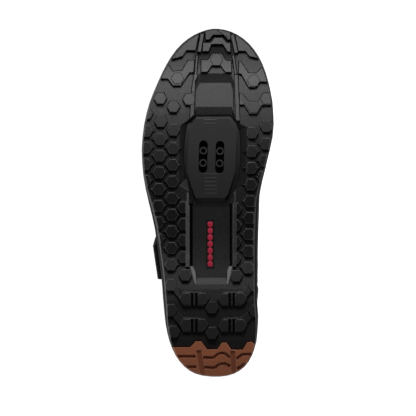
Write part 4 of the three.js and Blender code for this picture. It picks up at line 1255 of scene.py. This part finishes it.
def line_on_face(places, distance=0.0):
    """Pairs of place and outward direction on the upper for a line of (turn, rise) places."""
    pairs = []
    for turn, rise in places:
        low = face(turn, rise, distance)
        pairs.append((low, (face(turn, rise, distance + 1) - low).normalized()))
    return pairs


def on_strap(ends, share, walk):
    """A place on a strap's face, at a share of its width, and the direction out of it."""
    x = ends["along"] * SHOE_LENGTH + ends["width"] * (share - 0.5)
    height = SEAT - 0.2 + STRAP_THICKNESS + strap_lift(ends, walk)
    low = band_point(x, ends, walk, height)
    high = band_point(x, ends, walk, height + 1)
    return low, (high - low).normalized()


def line_on_strap(ends, share):
    """A line along a strap, a share of its width from its rear edge."""
    return [on_strap(ends, share, lerp(0.1, 2.9, i / 60)) for i in range(61)]


def line_across_strap(ends, walk):
    """The sewn end of a strap: a line across it, low on the inner side."""
    return [on_strap(ends, lerp(0.12, 0.88, i / 20), walk) for i in range(21)]


def overlay_edge(cut):
    """Places of a line that follows the upper edge of an overlay."""
    places = []
    for i in range(81):
        share = lerp(0.03, 0.97, i / 80)
        rise = overlay_height(cut, share) - STITCH["inset"]
        places.append((lerp(cut["first"], cut["final"], share), rise))
    return places


def stitches():
    """All seams: collar, throat, overlays and straps."""
    lines = []
    for rise in (0.79, 0.765):
        lines.append(line_on_face([(lerp(-0.56, 0.56, i / 160), rise) for i in range(161)]))
    for side in (1, -1):
        for rise in (0.955, 0.925):
            lines.append(line_on_face([(side * lerp(0.5, 0.97, i / 100), rise) for i in range(101)]))
    for cut in (TOE_CAP, HEEL_COUNTER):
        lines.append(line_on_face(overlay_edge(cut), OVERLAY_THICKNESS + 0.15))
    for ends in (INSTEP_STRAP, MIDDLE_STRAP, FRONT_STRAP):
        margin = 2.2 / ends["width"]
        lines += [line_on_strap(ends, margin), line_on_strap(ends, 1 - margin)]
        lines += [line_across_strap(ends, walk) for walk in (0.12, 0.2)]
    work = bmesh.new()
    for line in lines:
        for place in stitch_places(line):
            bmesh.ops.create_icosphere(work, subdivisions=1, radius=1, matrix=ROW @ place)
    smooth_faces(work)
    return named_slot(place_object("stitches", made_mesh(work, "stitches"), thread))


upper_shell()
overlay("toe_cap_panel", "toe_cap", TOE_CAP)
overlay("heel_counter_panel", "heel_counter", HEEL_COUNTER)
strap("instep_band", "instep_strap", INSTEP_STRAP)
strap("middle_band", "middle_strap", MIDDLE_STRAP)
strap("front_band", "front_strap", FRONT_STRAP)
tongue()
stitches()

# Stage, light and camera

STAGE_HALF_WIDTH = 12
PAPER = (0.9, 0.9, 0.9, 1)
# The camera looks straight at the tread, from a point on the standing shoe's own axes
CAMERA = {"lens": 308.5, "sensor": 36, "eye": (142.6, -1.7, -2997), "aim": (142.6, -1.7, 3)}
# Strength of the studio's walls: dim on the side of the tread, brighter on the other, white to the camera
STUDIO = {"dim_at": -0.75, "bright_at": -0.25, "dim": 0.04, "bright": 0.5, "seen": 1.3}


def add_stage():
    """A wide pale floor."""
    pale = Shader("stage_paper").finish(
        Base_Color=PAPER, Roughness=0.9, Emission_Color=PAPER, Emission_Strength=1.05,
    )
    work = bmesh.new()
    bmesh.ops.create_grid(work, x_segments=1, y_segments=1, size=STAGE_HALF_WIDTH)
    mesh = made_mesh(work, "stage")
    mesh.materials.append(pale)
    obj = bpy.data.objects.new("stage", mesh)
    bpy.context.scene.collection.objects.link(obj)
    obj.visible_diffuse = False
    obj.visible_glossy = False


def add_light(name, size, place, target, power):
    """A flat light that faces a target, in metres."""
    data = bpy.data.lights.new(name, "AREA")
    data.shape = "RECTANGLE"
    data.size, data.size_y = size
    data.energy = power
    obj = bpy.data.objects.new(name, data)
    obj.location = place
    obj.rotation_mode = "QUATERNION"
    obj.rotation_quaternion = (Vector(place) - Vector(target)).to_track_quat("Z", "Y")
    bpy.context.scene.collection.objects.link(obj)


def add_camera():
    """The camera, with the toe up in its picture."""
    data = bpy.data.cameras.new("camera")
    data.sensor_width = CAMERA["sensor"]
    data.lens = CAMERA["lens"]
    obj = bpy.data.objects.new("camera", data)
    bpy.context.scene.collection.objects.link(obj)
    eye = ROW @ Vector(CAMERA["eye"])
    back = (eye - ROW @ Vector(CAMERA["aim"])).normalized()
    up = (ROW.to_3x3() @ Vector((1, 0, 0))).normalized()
    obj.matrix_world = Matrix.Translation(eye) @ Matrix((up.cross(back), up, back)).transposed().to_4x4()
    bpy.context.scene.camera = obj


def add_studio():
    """Soft walls all round the shoe, dim on the side of the tread; the camera sees them white."""
    world = bpy.data.worlds.new("studio")
    world.use_nodes = True
    tree = world.node_tree
    tree.nodes.clear()
    place = tree.nodes.new("ShaderNodeTexCoord")
    split = tree.nodes.new("ShaderNodeSeparateXYZ")
    range_node = tree.nodes.new("ShaderNodeMapRange")
    background = tree.nodes.new("ShaderNodeBackground")
    output = tree.nodes.new("ShaderNodeOutputWorld")
    range_node.interpolation_type = "SMOOTHSTEP"
    for index, key in enumerate(("dim_at", "bright_at", "dim", "bright"), start=1):
        range_node.inputs[index].default_value = STUDIO[key]
    tree.links.new(place.outputs["Generated"], split.inputs[0])
    tree.links.new(split.outputs["Y"], range_node.inputs[0])
    path = tree.nodes.new("ShaderNodeLightPath")
    white = tree.nodes.new("ShaderNodeMath")
    white.operation = "MULTIPLY"
    white.inputs[1].default_value = STUDIO["seen"]
    seen = tree.nodes.new("ShaderNodeMath")
    seen.operation = "MAXIMUM"
    tree.links.new(path.outputs["Is Camera Ray"], white.inputs[0])
    tree.links.new(range_node.outputs[0], seen.inputs[0])
    tree.links.new(white.outputs[0], seen.inputs[1])
    tree.links.new(seen.outputs[0], background.inputs["Strength"])
    tree.links.new(background.outputs[0], output.inputs["Surface"])
    bpy.context.scene.world = world


add_stage()
add_light(
    "toe_light", size=(0.3, 0.3), place=ROW @ Vector((640, 30, -500)), target=ROW @ Vector((230, 0, 0)),
    power=3.6,
)
add_light("back_top", size=(1.6, 1.0), place=(0.0, 1.0, 1.6), target=(0, -0.2, 0), power=10)
add_camera()
add_studio()
bpy.context.scene.view_settings.view_transform = "Standard"
